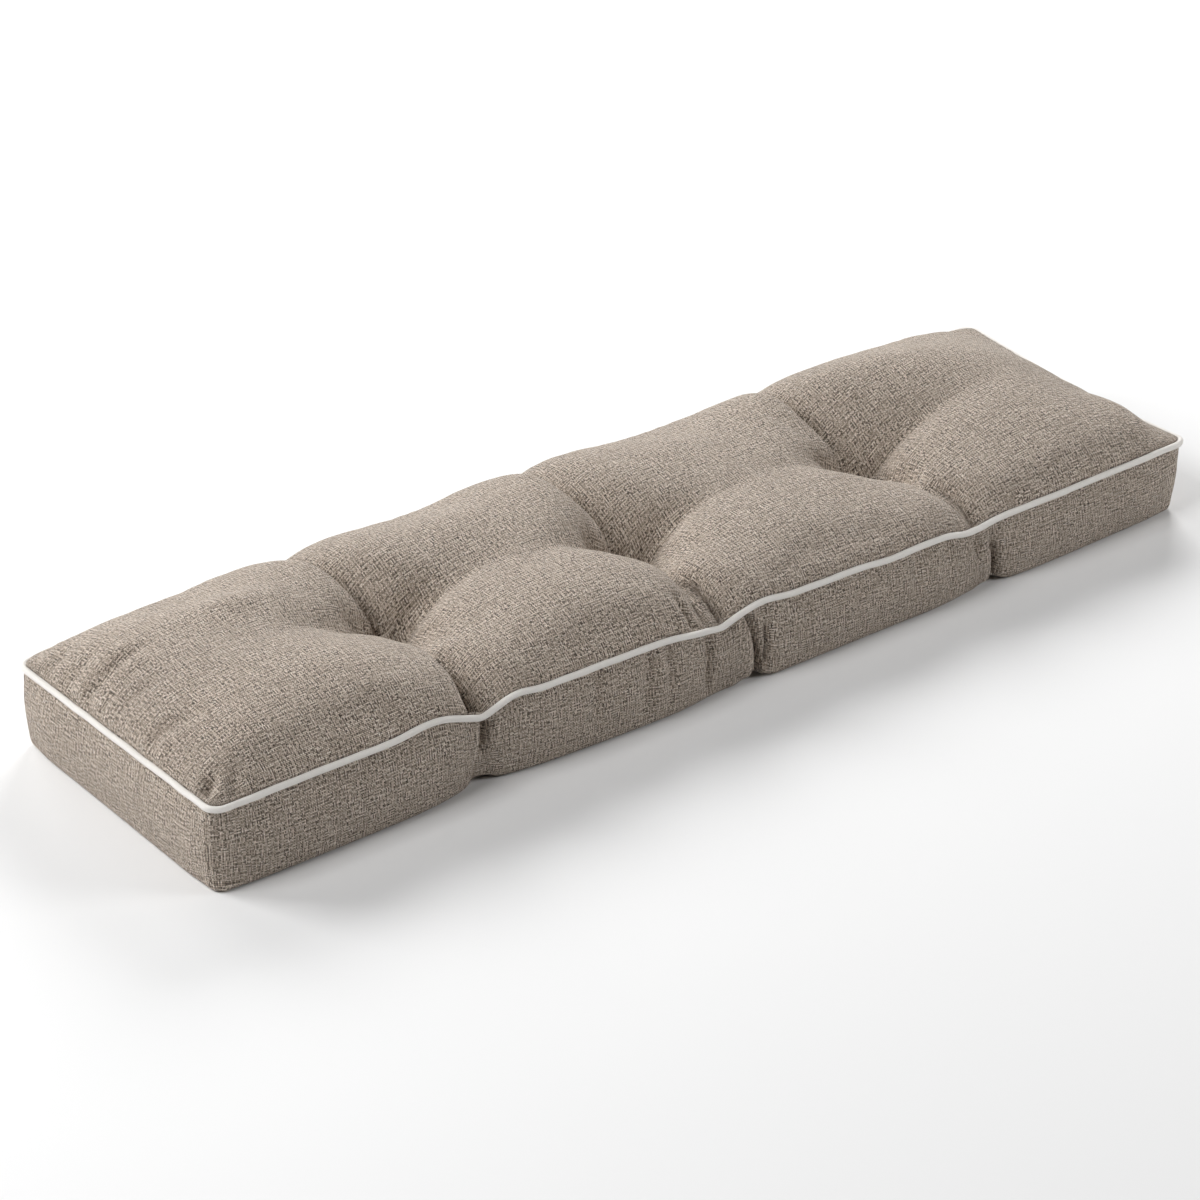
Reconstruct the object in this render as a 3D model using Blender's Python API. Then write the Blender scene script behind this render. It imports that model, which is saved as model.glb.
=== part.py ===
"""Bench cushion: one long filled pad with boxed sides, three tufts and a corded top seam.

All sizes are in metres, +Z is up, and the cushion lies on Z = 0 with its centre over the
origin, its length along X and its front towards -Y.
"""
from collections import namedtuple

import bmesh
import bpy
import numpy as np

# Driving dimensions
LENGTH = 1.215              # top seam to top seam, end to end
DEPTH = 0.342               # top seam to top seam, front to back
CORNER_RADIUS = 0.014       # plan corners of the top seam
CORD_RADIUS = 0.003         # the corded edge in the top seam
GROOVE_RADIUS = 0.004       # hollow in which the corded edge lies, clear of it all round

# Boxed sides
SIDE_BULGE = 0.0065         # how far the filling pushes a side out at mid height
BULGE_FROM_CORNER = 0.05    # distance from a corner at which the bulge is full
FOOT_HEIGHT = 0.005         # height of the rounded lower edge
FOOT_PULL_REACH = 0.030     # how far the bottom panel is drawn in from its edge
FOLD_HALF_WIDTH = 0.013     # upright folds that the creases draw into the long sides
FOLD_SHARPNESS = 1.2
FOLD_AT_ENDS = 0.45         # share of a fold's depth left at its top and its foot

# Crown of the top panel
CROWN_SQUARENESS = 2.3      # exponent of the crown's section, 2 is an ellipse
LEFT_END_REACH = 0.15       # distance from the end at which the crown is full
RIGHT_END_REACH = 0.28
LEFT_END_STEEPNESS = 0.9    # the right end is filled less and rises more gently
RIGHT_END_STEEPNESS = 1.10

# Where the tufts pull the seam line out of true
DIP_HALF_WIDTH = 0.030
DRAW_HALF_WIDTH = 0.039
LIFT_OFFSET = 0.062         # the swell beside a dip, measured towards the left end
LIFT_HALF_WIDTH = 0.035
SEAM_PULL_REACH = 0.035     # how far a dip is felt from the seam into the top panel
BACK_SHARE = 0.75           # the back seam is pulled about this much as the front one
RIGHT_END_SAG = 0.007       # the seam of the slacker right end hangs lower in its middle
RIGHT_END_SAG_REACH = 0.060

# Hollows round the tufts
FUNNEL_REACH_X = 0.150
FUNNEL_REACH_BACK = 0.130
FUNNEL_REACH_FRONT = 0.180
FUNNEL_STEEPNESS = 2.2
FUNNEL_END = 1.5            # reaches beyond which the funnel has run out
VALLEY_REACH = 0.120        # the valleys that run along the length, away from each tuft
VALLEY_DEPTH = 0.95
VALLEY_HALF_WIDTH = 0.040
VALLEY_SPREAD = 0.30        # widening for each metre away from the tuft
BLEND = 3.0                 # exponent that joins funnel, valley and crease softly
NOTCH_SOFTNESS = 0.03       # rounding at the bottom of a crease, in half widths
NOTCH_FULLNESS = 0.85       # below 1 the flanks are steeper at the bottom of the crease

# Underside
UNDER_TUFT_HEIGHT = 0.012   # shallow hollow under each tuft
UNDER_TUFT_RADIUS = 0.055
UNDER_FOLD_HEIGHT = 0.007   # the lower edge lifts a little at each upright fold
UNDER_FOLD_RADIUS = 0.026

# The seam along the length: its height above the floor in front and at the back, and how far
# the lower edge lies inside it
Seam = namedtuple("Seam", "x front back inset")
SEAMS = (
    Seam(x=-0.6075, front=0.0940, back=0.0880, inset=0.001),
    Seam(x=-0.4000, front=0.0933, back=0.0900, inset=0.001),
    Seam(x=-0.2900, front=0.0910, back=0.0900, inset=0.005),
    Seam(x=-0.1500, front=0.0888, back=0.0900, inset=-0.001),
    Seam(x=0.1500, front=0.0840, back=0.0860, inset=-0.002),
    Seam(x=0.4000, front=0.0790, back=0.0840, inset=-0.001),
    Seam(x=0.6075, front=0.0820, back=0.0770, inset=0.005),
)

# Height of the filling's crest above the seam: each filling swells towards its right crease
Crest = namedtuple("Crest", "x height")
CRESTS = (
    Crest(x=-0.6075, height=0.048),
    Crest(x=-0.4500, height=0.054),
    Crest(x=-0.3400, height=0.057),
    Crest(x=-0.2600, height=0.046),
    Crest(x=-0.1500, height=0.051),
    Crest(x=-0.0500, height=0.061),
    Crest(x=0.0300, height=0.052),
    Crest(x=0.1500, height=0.044),
    Crest(x=0.2500, height=0.049),
    Crest(x=0.3300, height=0.050),
    Crest(x=0.4500, height=0.053),
    Crest(x=0.6075, height=0.042),
)

# Each tuft with its crease: where the crease meets the back seam, the tuft and the front
# seam; where the front seam dips and where the upright fold stands below it; the share of
# the crown that is taken at the tuft, on the back run, on the saddle before the tuft and at
# the front seam; and how far the seam dips, is drawn in and swells, and the fold's depth
Crease = namedtuple("Crease", "x_back x_tuft x_front x_dip x_fold y_tuft tuft back saddle"
                              " front dip draw lift fold")
CREASES = (
    Crease(x_back=-0.302, x_tuft=-0.297, x_front=-0.299, x_dip=-0.299, x_fold=-0.301,
           y_tuft=0.000, tuft=1.22, back=0.40, saddle=0.72, front=1.05,
           dip=0.014, draw=0.007, lift=0.006, fold=0.013),
    Crease(x_back=-0.030, x_tuft=-0.005, x_front=-0.028, x_dip=-0.008, x_fold=0.027,
           y_tuft=-0.015, tuft=1.26, back=0.50, saddle=0.78, front=1.02,
           dip=0.013, draw=0.007, lift=0.000, fold=0.014),
    Crease(x_back=0.284, x_tuft=0.300, x_front=0.322, x_dip=0.328, x_fold=0.341,
           y_tuft=-0.008, tuft=1.22, back=0.52, saddle=0.72, front=0.88,
           dip=0.008, draw=0.006, lift=0.000, fold=0.012),
)

# Half width of a crease over the depth of the cushion, from the back seam (-1) over the tuft
# (0) to the front seam (+1): its left flank is a shorter lip, its right flank a longer slope
Flank = namedtuple("Flank", "place left right")
FLANKS = (
    Flank(place=-1.0, left=0.050, right=0.075),
    Flank(place=-0.6, left=0.075, right=0.095),
    Flank(place=-0.2, left=0.080, right=0.090),
    Flank(place=0.0, left=0.080, right=0.080),
    Flank(place=0.2, left=0.075, right=0.072),
    Flank(place=0.5, left=0.055, right=0.066),
    Flank(place=0.8, left=0.042, right=0.056),
    Flank(place=1.0, left=0.036, right=0.046),
)

# Mesh density: offsets of the grid lines from each crease, from each end, and from the
# front and the back
LINES_BESIDE_CREASE = (0.004, 0.009, 0.016, 0.026, 0.040, 0.060, 0.088)
LINES_FROM_END = (0.004, 0.009, 0.014, 0.024, 0.042, 0.070, 0.110, 0.160)
LINES_FROM_SIDE = (0.004, 0.009, 0.014, 0.024, 0.040, 0.060, 0.085, 0.112, 0.138)
LINES_BETWEEN = 0.045       # widest spacing of grid lines along the length

# Rows of the sides, from the foot up: share of the boxing's height. Above them come the
# rows of the groove, as angles round the corded edge, 0 outwards and 90 degrees up
SIDE_SHARES = (0.0, 0.14, 0.36, 0.60, 0.82)
GROOVE_ANGLES = (-75.0, -121.0, -168.0, -214.0, -260.0)

CORD_BEVEL_RESOLUTION = 2

FABRIC_COLOUR = (0.36, 0.30, 0.25, 1.0)
CORD_COLOUR = (0.80, 0.77, 0.72, 1.0)


def column(table, name):
    """One named column of a table as an array."""
    return np.array([getattr(row, name) for row in table])


def along(x, table, name):
    """A column of a table at any x, as a smooth curve through the table's places."""
    places = column(table, "x")
    values = column(table, name)
    slopes = np.gradient(values, places)
    left = np.clip(np.searchsorted(places, x, side="right") - 1, 0, len(places) - 2)
    span = places[left + 1] - places[left]
    t = np.clip((x - places[left]) / span, 0.0, 1.0)
    return ((1 + 2 * t) * (1 - t) ** 2 * values[left]
            + t * (1 - t) ** 2 * span * slopes[left]
            + t ** 2 * (3 - 2 * t) * values[left + 1]
            - t ** 2 * (1 - t) * span * slopes[left + 1])


def quarter_round(share):
    """Rise of a quarter ellipse: 0 at 0 with an upright start, 1 and level from 1 on."""
    share = np.clip(share, 0.0, 1.0)
    return np.sqrt(1.0 - (1.0 - share) ** 2)


def notch(offset):
    """A sharp valley between two rounded flanks: 1 at 0, nothing from 1 on."""
    softened = np.minimum(np.sqrt(offset ** 2 + NOTCH_SOFTNESS ** 2), 1.0)
    return 1.0 - np.sin(np.pi / 2 * softened) ** NOTCH_FULLNESS


def bump(distance, radius):
    """A round bump of height 1 that ends exactly at its radius."""
    return np.clip(1.0 - (distance / radius) ** 2, 0.0, None) ** 2


def seam_level(x, y):
    """Height of the top seam and how far it is drawn in, carried over the whole plan."""
    across = y / DEPTH + 0.5
    level = along(x, SEAMS, "front") * (1.0 - across) + along(x, SEAMS, "back") * across
    bow = 1.0 - (2.0 * y / DEPTH) ** 2
    level -= RIGHT_END_SAG * bow * np.exp(-(LENGTH / 2 - x) / RIGHT_END_SAG_REACH)
    draw = np.zeros_like(level)
    for crease in CREASES:
        for side, centre, share in ((-1, crease.x_dip, 1.0), (1, crease.x_back, BACK_SHARE)):
            near = share * np.exp(-(DEPTH / 2 - side * y) / SEAM_PULL_REACH)
            offset = x - centre
            swell = (offset + LIFT_OFFSET) / LIFT_HALF_WIDTH
            level -= near * crease.dip * np.exp(-np.abs(offset / DIP_HALF_WIDTH) ** 1.5)
            level += near * crease.lift * np.exp(-swell ** 2)
            draw -= side * near * crease.draw * np.exp(-(offset / DRAW_HALF_WIDTH) ** 2)
    return level, draw


def crown(x, y):
    """Height of the filling above the seam level, before the tufts pull it down."""
    across = np.clip(np.abs(y) / (DEPTH / 2), 0.0, 1.0)
    section = np.sqrt(1.0 - across ** CROWN_SQUARENESS)
    left = quarter_round((LENGTH / 2 + x) / LEFT_END_REACH) ** LEFT_END_STEEPNESS
    right = quarter_round((LENGTH / 2 - x) / RIGHT_END_REACH) ** RIGHT_END_STEEPNESS
    return along(x, CRESTS, "height") * section * left * right


def crease_line(crease, y):
    """X of a crease at any y: it runs straight from the back seam to the tuft to the front."""
    places = (-DEPTH / 2, crease.y_tuft, DEPTH / 2)
    return np.interp(y, places, (crease.x_front, crease.x_tuft, crease.x_back))


def hollow(x, y):
    """Share of the crown taken away by the tufts: a funnel, two valleys and a crease each."""
    deepest = np.zeros_like(x)
    forward = -y / (DEPTH / 2)
    places = column(FLANKS, "place")
    left = np.interp(forward, places, column(FLANKS, "left"))
    right = np.interp(forward, places, column(FLANKS, "right"))
    for crease in CREASES:
        dx = x - crease.x_tuft
        dy = y - crease.y_tuft
        reach_y = np.where(dy < 0.0, FUNNEL_REACH_FRONT, FUNNEL_REACH_BACK)
        reach = np.hypot(dx / FUNNEL_REACH_X, dy / reach_y)
        funnel = crease.tuft * np.exp(-FUNNEL_STEEPNESS * reach)
        funnel *= np.clip(1.0 - (reach / FUNNEL_END) ** 2, 0.0, None)
        spread = VALLEY_HALF_WIDTH + VALLEY_SPREAD * np.abs(dx)
        valley = VALLEY_DEPTH * np.exp(-(np.abs(dx) / VALLEY_REACH) ** 1.3) * notch(dy / spread)
        depths = (0.5 * crease.back, crease.back, 0.85, 1.0, 0.95, crease.saddle,
                  0.5 * (crease.saddle + crease.front), crease.front)
        depth = np.interp(forward, places, depths)
        offset = x - crease_line(crease, y)
        cut = depth * notch(offset / np.where(offset < 0.0, left, right))
        taken = (funnel ** BLEND + valley ** BLEND + cut ** BLEND) ** (1.0 / BLEND)
        deepest = np.maximum(deepest, taken)
    return deepest


def round_corners(x, y):
    """Plan position with the box's square corners turned into round ones."""
    a = np.clip((np.abs(x) - (LENGTH / 2 - CORNER_RADIUS)) / CORNER_RADIUS, 0.0, 1.0)
    b = np.clip((np.abs(y) - (DEPTH / 2 - CORNER_RADIUS)) / CORNER_RADIUS, 0.0, 1.0)
    in_corner = (a > 0.0) & (b > 0.0)
    round_x = LENGTH / 2 + CORNER_RADIUS * (a * np.sqrt(1.0 - b ** 2 / 2) - 1.0)
    round_y = DEPTH / 2 + CORNER_RADIUS * (b * np.sqrt(1.0 - a ** 2 / 2) - 1.0)
    return (np.where(in_corner, np.sign(x) * round_x, x),
            np.where(in_corner, np.sign(y) * round_y, y))


def outward(x, y):
    """Unit plan direction out of the cushion at a point of the box's outline."""
    in_x = np.sign(x) * np.maximum(np.abs(x) - (LENGTH / 2 - CORNER_RADIUS), 0.0)
    in_y = np.sign(y) * np.maximum(np.abs(y) - (DEPTH / 2 - CORNER_RADIUS), 0.0)
    round_x, round_y = round_corners(x, y)
    both = (in_x != 0.0) & (in_y != 0.0)
    out_x = np.where(both, round_x - np.sign(x) * (LENGTH / 2 - CORNER_RADIUS), in_x)
    out_y = np.where(both, round_y - np.sign(y) * (DEPTH / 2 - CORNER_RADIUS), in_y)
    size = np.hypot(out_x, out_y)
    return out_x / size, out_y / size


def seam_point(x, y):
    """Centre of the corded edge at a point of the box's outline."""
    level, draw = seam_level(x, y)
    plan_x, plan_y = round_corners(x, y)
    return plan_x, plan_y + draw, level


def top_panel(x, y):
    """Top panel: from the groove's upper lip over the crown, less the tufts' hollows."""
    level, draw = seam_level(x, y)
    plan_x, plan_y = round_corners(x, y)
    lip = np.radians(GROOVE_ANGLES[-1])
    inset = 1.0 + GROOVE_RADIUS * np.cos(lip) / (DEPTH / 2)
    height = level + GROOVE_RADIUS * np.sin(lip) + crown(x, y) * (1.0 - hollow(x, y))
    return plan_x * inset, plan_y * inset + draw, height


def fold_depth(x, y, share):
    """How far the upright folds of the long sides are drawn in, at a share of the height."""
    upright = FOLD_AT_ENDS + (1.0 - FOLD_AT_ENDS) * np.sin(np.pi * share)
    depth = np.zeros_like(x)
    for crease in CREASES:
        front = np.exp(-np.abs((x - crease.x_fold) / FOLD_HALF_WIDTH) ** FOLD_SHARPNESS)
        back = np.exp(-np.abs((x - crease.x_back) / FOLD_HALF_WIDTH) ** FOLD_SHARPNESS)
        depth += crease.fold * upright * np.where(y < 0.0, front, BACK_SHARE * back)
    long_side = np.abs(y) > DEPTH / 2 - CORNER_RADIUS
    return np.where(long_side, depth, 0.0)


def side_row(x, y, share):
    """A row of the boxed side: between the foot and the groove, bulged and folded."""
    seam_x, seam_y, level = seam_point(x, y)
    out_x, out_y = outward(x, y)
    from_corner = np.where(np.abs(out_x) > 0.5, DEPTH / 2 - np.abs(y), LENGTH / 2 - np.abs(x))
    bulge = SIDE_BULGE * np.sin(np.pi * (0.1 + 0.9 * share))
    bulge = bulge * np.clip(from_corner / BULGE_FROM_CORNER, 0.0, 1.0) ** 0.5
    out = bulge - along(x, SEAMS, "inset") * (1.0 - share) - fold_depth(x, y, share)
    foot = FOOT_HEIGHT + under_lift(x, y)
    return seam_x + out_x * out, seam_y + out_y * out, foot + (level - foot) * share


def groove_row(x, y, angle):
    """A row of the groove, on a circle round the corded edge's centre."""
    seam_x, seam_y, level = seam_point(x, y)
    out_x, out_y = outward(x, y)
    out = GROOVE_RADIUS * np.cos(np.radians(angle))
    return seam_x + out_x * out, seam_y + out_y * out, level + GROOVE_RADIUS * np.sin(np.radians(angle))


def under_lift(x, y):
    """Height of the underside: level on the floor but for the tufts and the folds' feet."""
    height = np.zeros_like(x)
    for crease in CREASES:
        to_tuft = np.hypot(x - crease.x_tuft, y - crease.y_tuft)
        to_front = np.hypot(x - crease.x_fold, y + DEPTH / 2)
        to_back = np.hypot(x - crease.x_back, y - DEPTH / 2)
        height += UNDER_TUFT_HEIGHT * bump(to_tuft, UNDER_TUFT_RADIUS)
        height += UNDER_FOLD_HEIGHT * bump(to_front, UNDER_FOLD_RADIUS)
        height += BACK_SHARE * UNDER_FOLD_HEIGHT * bump(to_back, UNDER_FOLD_RADIUS)
    return height


def bottom_panel(x, y):
    """Bottom panel: drawn in near its edges as far as the lower edge of the sides is."""
    plan_x, plan_y = round_corners(x, y)
    near_end = np.exp(-(LENGTH / 2 - np.abs(x)) / FOOT_PULL_REACH)
    near_side = np.exp(-(DEPTH / 2 - np.abs(y)) / FOOT_PULL_REACH)
    at_side = np.sign(y) * DEPTH / 2
    inset = along(x, SEAMS, "inset")
    plan_x = plan_x - np.sign(x) * inset * near_end
    plan_y = plan_y - np.sign(y) * (inset + fold_depth(x, at_side, 0.0)) * near_side
    return plan_x, plan_y, under_lift(x, y)


def lines_along():
    """Places of the grid lines along the length: close at the creases and the ends."""
    places = {-LENGTH / 2, LENGTH / 2}
    for offset in LINES_FROM_END:
        places |= {offset - LENGTH / 2, LENGTH / 2 - offset}
    for crease in CREASES:
        for centre in (crease.x_front, crease.x_fold):
            places.add(centre)
            places |= {centre + side * offset for offset in LINES_BESIDE_CREASE for side in (-1, 1)}
    return thin_and_fill(sorted(places))


def thin_and_fill(places, closest=0.0035):
    """Sorted places without near doubles, and with wide gaps cut into equal steps."""
    kept = [places[0]]
    for place in places[1:]:
        if place - kept[-1] < closest:
            continue
        steps = int(np.ceil((place - kept[-1]) / LINES_BETWEEN))
        kept += list(np.linspace(kept[-1], place, steps + 1)[1:])
    return kept


def lines_across():
    """Places of the grid lines over the depth, the same in front and at the back."""
    half = [DEPTH / 2 - offset for offset in LINES_FROM_SIDE]
    return sorted([-place for place in half] + [0.0] + half)


def cut_box(lines_x, lines_y, rows):
    """A box of the seam's size, rows units high, cut along every grid line."""
    mesh = bmesh.new()
    bmesh.ops.create_cube(mesh, size=1.0)
    bmesh.ops.scale(mesh, vec=(LENGTH, DEPTH, rows), verts=mesh.verts)
    bmesh.ops.translate(mesh, vec=(0.0, 0.0, rows / 2), verts=mesh.verts)
    cuts = [((place, 0.0, 0.0), (1.0, 0.0, 0.0)) for place in lines_x]
    cuts += [((0.0, place, 0.0), (0.0, 1.0, 0.0)) for place in lines_y]
    cuts += [((0.0, 0.0, row), (0.0, 0.0, 1.0)) for row in range(1, rows)]
    for point, direction in cuts:
        everything = mesh.verts[:] + mesh.edges[:] + mesh.faces[:]
        bmesh.ops.bisect_plane(mesh, geom=everything, plane_co=point, plane_no=direction)
    return mesh


def shape_cushion(points, rows):
    """Moves the cut box's points to the cushion's surface, row by row."""
    x, y, row = points.T
    shaped = points.copy()
    level = np.rint(row).astype(int)
    rim = (np.abs(x) > LENGTH / 2 - 1e-6) | (np.abs(y) > DEPTH / 2 - 1e-6)
    top = level == rows
    shaped[top] = np.stack(top_panel(x[top], y[top]), axis=1)
    under = (level == 0) & ~rim
    shaped[under] = np.stack(bottom_panel(x[under], y[under]), axis=1)
    for index, share in enumerate(SIDE_SHARES):
        here = (level == index) & rim
        shaped[here] = np.stack(side_row(x[here], y[here], share), axis=1)
    for index, angle in enumerate(GROOVE_ANGLES[:-1]):
        here = level == len(SIDE_SHARES) + index
        shaped[here] = np.stack(groove_row(x[here], y[here], angle), axis=1)
    return shaped


def make_material(name, colour, roughness):
    """A plain cloth material."""
    material = bpy.data.materials.new(name)
    material.use_nodes = True
    shader = material.node_tree.nodes["Principled BSDF"]
    shader.inputs["Base Color"].default_value = colour
    shader.inputs["Roughness"].default_value = roughness
    shader.inputs["Metallic"].default_value = 0.0
    return material


def add_to(collection, name, data, material):
    """A named object in the cushion's collection."""
    data.materials.append(material)
    item = bpy.data.objects.new(name, data)
    collection.objects.link(item)
    return item


def build_cushion(collection, lines_x, lines_y):
    """The filled body: top panel, boxed sides and bottom panel in one closed skin."""
    rows = len(SIDE_SHARES) + len(GROOVE_ANGLES) - 1
    box = cut_box(lines_x[1:-1], lines_y, rows)
    mesh = bpy.data.meshes.new("cushion")
    box.to_mesh(mesh)
    box.free()
    points = np.empty(len(mesh.vertices) * 3)
    mesh.vertices.foreach_get("co", points)
    shaped = shape_cushion(points.reshape(-1, 3), rows)
    mesh.vertices.foreach_set("co", shaped.ravel())
    mesh.update()
    mesh.shade_smooth()
    return add_to(collection, "cushion", mesh, make_material("woven_cloth", FABRIC_COLOUR, 0.9))


def build_piping(collection, lines_x, lines_y):
    """The corded edge: a round cord in one loop along the whole top seam."""
    lines_y = [-DEPTH / 2] + lines_y + [DEPTH / 2]
    outline = [(x, -DEPTH / 2) for x in lines_x[:-1]]
    outline += [(LENGTH / 2, y) for y in lines_y[:-1]]
    outline += [(x, DEPTH / 2) for x in lines_x[:0:-1]]
    outline += [(-LENGTH / 2, y) for y in lines_y[:0:-1]]
    x, y = np.array(outline).T
    curve = bpy.data.curves.new("piping", type="CURVE")
    curve.dimensions = "3D"
    curve.twist_mode = "Z_UP"
    curve.bevel_depth = CORD_RADIUS
    curve.bevel_resolution = CORD_BEVEL_RESOLUTION
    spline = curve.splines.new("POLY")
    spline.points.add(len(outline) - 1)
    spline.use_cyclic_u = True
    for point, place in zip(spline.points, np.stack(seam_point(x, y), axis=1)):
        point.co = (*place, 1.0)
    return add_to(collection, "piping", curve, make_material("corded_edge", CORD_COLOUR, 0.85))


def main():
    """Clears the scene and builds the cushion and its corded edge."""
    for item in list(bpy.data.objects):
        bpy.data.objects.remove(item)
    collection = bpy.data.collections.new("bench_cushion")
    bpy.context.scene.collection.children.link(collection)
    lines_x = lines_along()
    lines_y = lines_across()
    build_cushion(collection, lines_x, lines_y)
    build_piping(collection, lines_x, lines_y)


main()
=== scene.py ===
"""Looks of a bench cushion: a filled cover of slubbed cloth, three tufts and a corded top seam.

Sizes are in metres in the cushion's own frame: X runs along its length, -Y is its front, +Z is
up, and it lies on Z = 0 with its centre over the origin.
"""

import logging
from dataclasses import dataclass
from enum import Enum
from typing import NamedTuple

import bpy
import numpy as np
from mathutils import Matrix, Vector


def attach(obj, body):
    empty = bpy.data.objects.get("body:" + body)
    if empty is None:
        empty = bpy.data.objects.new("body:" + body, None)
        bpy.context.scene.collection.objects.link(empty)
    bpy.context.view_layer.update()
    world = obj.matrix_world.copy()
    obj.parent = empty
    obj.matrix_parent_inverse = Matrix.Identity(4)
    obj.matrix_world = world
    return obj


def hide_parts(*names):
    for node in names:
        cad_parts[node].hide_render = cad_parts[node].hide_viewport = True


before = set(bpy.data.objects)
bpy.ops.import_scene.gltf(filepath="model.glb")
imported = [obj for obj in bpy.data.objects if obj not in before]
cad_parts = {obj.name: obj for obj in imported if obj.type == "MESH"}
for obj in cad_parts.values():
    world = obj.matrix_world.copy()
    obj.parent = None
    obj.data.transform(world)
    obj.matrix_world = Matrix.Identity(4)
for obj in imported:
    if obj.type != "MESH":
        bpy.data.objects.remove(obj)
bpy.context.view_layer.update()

Array = np.ndarray
LOG = logging.getLogger("bench_cushion")
UV_NAME = "cloth"
NOISE_CELLS = 255
NOISE_SHIFT = (97.3, 41.7)
FINE_STEPS = 8000
TINY = 1e-9


class Panel(Enum):
    """The cut pieces of the cover that have folds of their own.

    A panel's first coordinate a is x, and its second one b is y on the top and the height
    on the front.
    """

    TOP = "top"
    FRONT = "front"

    @property
    def a_axis(self) -> Array:
        """World direction of the panel's first coordinate."""
        return np.array([1.0, 0.0, 0.0])

    @property
    def b_axis(self) -> Array:
        """World direction of the panel's second coordinate."""
        return np.array([0.0, 1.0, 0.0] if self is Panel.TOP else [0.0, 0.0, 1.0])

    @property
    def facing(self) -> Array:
        """World direction that the panel faces."""
        return np.array([0.0, 0.0, 1.0] if self is Panel.TOP else [0.0, -1.0, 0.0])


class SeamPlace(NamedTuple):
    """A place along the top seam: its height in front and behind, and the foot's inset."""

    x: float
    front: float
    back: float
    inset: float


class Swell(NamedTuple):
    """A place where the front seam is pushed up, or drawn down, beside a tuft's dip."""

    x: float
    height: float
    half_width: float


class CrestPlace(NamedTuple):
    """A place along the length and the height of the filling's crest above the seam there."""

    x: float
    height: float


class Mound(NamedTuple):
    """A soft swelling of the filling, or a hollow in it: a bell turned about Z, in radians."""

    x: float
    y: float
    height: float
    reach: float
    reach_across: float
    turn: float


class Tuft(NamedTuple):
    """A tuft with the crease that it draws: places along the length, shares and depths."""

    x_back: float
    x_tuft: float
    x_front: float
    x_dip: float
    x_fold: float
    y_tuft: float
    tuft: float
    back: float
    saddle: float
    front: float
    dip: float
    draw: float
    fold: float


class FlankPlace(NamedTuple):
    """Half widths of a crease at a place from the back seam (-1) to the front seam (+1)."""

    place: float
    left: float
    right: float


class Fold(NamedTuple):
    """A fold laid on one panel, from (a0, b0) to (a1, b1) in the panel's metres.

    bend bows the line towards its left side, width is the half width, depth the trough,
    left_lip and right_lip the cloth heaped beside it, overhang how far the left lip leans
    over the trough, and head and tail the shares of the length over which it fades in and out.
    """

    a0: float
    b0: float
    a1: float
    b1: float
    bend: float
    width: float
    depth: float
    left_lip: float
    right_lip: float
    overhang: float
    head: float
    tail: float


SEAMS = (
    SeamPlace(x=-0.6075, front=0.0940, back=0.0880, inset=0.001),
    SeamPlace(x=-0.4000, front=0.0933, back=0.0900, inset=0.001),
    SeamPlace(x=-0.2900, front=0.0910, back=0.0900, inset=0.005),
    SeamPlace(x=-0.1500, front=0.0888, back=0.0900, inset=-0.001),
    SeamPlace(x=0.1500, front=0.0840, back=0.0860, inset=-0.002),
    SeamPlace(x=0.4000, front=0.0790, back=0.0840, inset=-0.001),
    SeamPlace(x=0.6075, front=0.0820, back=0.0770, inset=0.005),
)

SWELLS = (
    Swell(x=-0.361, height=0.0060, half_width=0.035),
    Swell(x=-0.262, height=0.0045, half_width=0.022),
    Swell(x=-0.040, height=-0.0042, half_width=0.030),
    Swell(x=0.038, height=0.0042, half_width=0.026),
    Swell(x=0.205, height=-0.0026, half_width=0.030),
    Swell(x=0.306, height=-0.0042, half_width=0.018),
)

CRESTS = (
    CrestPlace(x=-0.6075, height=0.0506),
    CrestPlace(x=-0.4500, height=0.0562),
    CrestPlace(x=-0.3400, height=0.0632),
    CrestPlace(x=-0.2600, height=0.0578),
    CrestPlace(x=-0.1500, height=0.0473),
    CrestPlace(x=-0.0500, height=0.0691),
    CrestPlace(x=0.0300, height=0.0596),
    CrestPlace(x=0.1500, height=0.0411),
    CrestPlace(x=0.2500, height=0.0515),
    CrestPlace(x=0.3300, height=0.0544),
    CrestPlace(x=0.4500, height=0.0565),
    CrestPlace(x=0.6075, height=0.0405),
)

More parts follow.
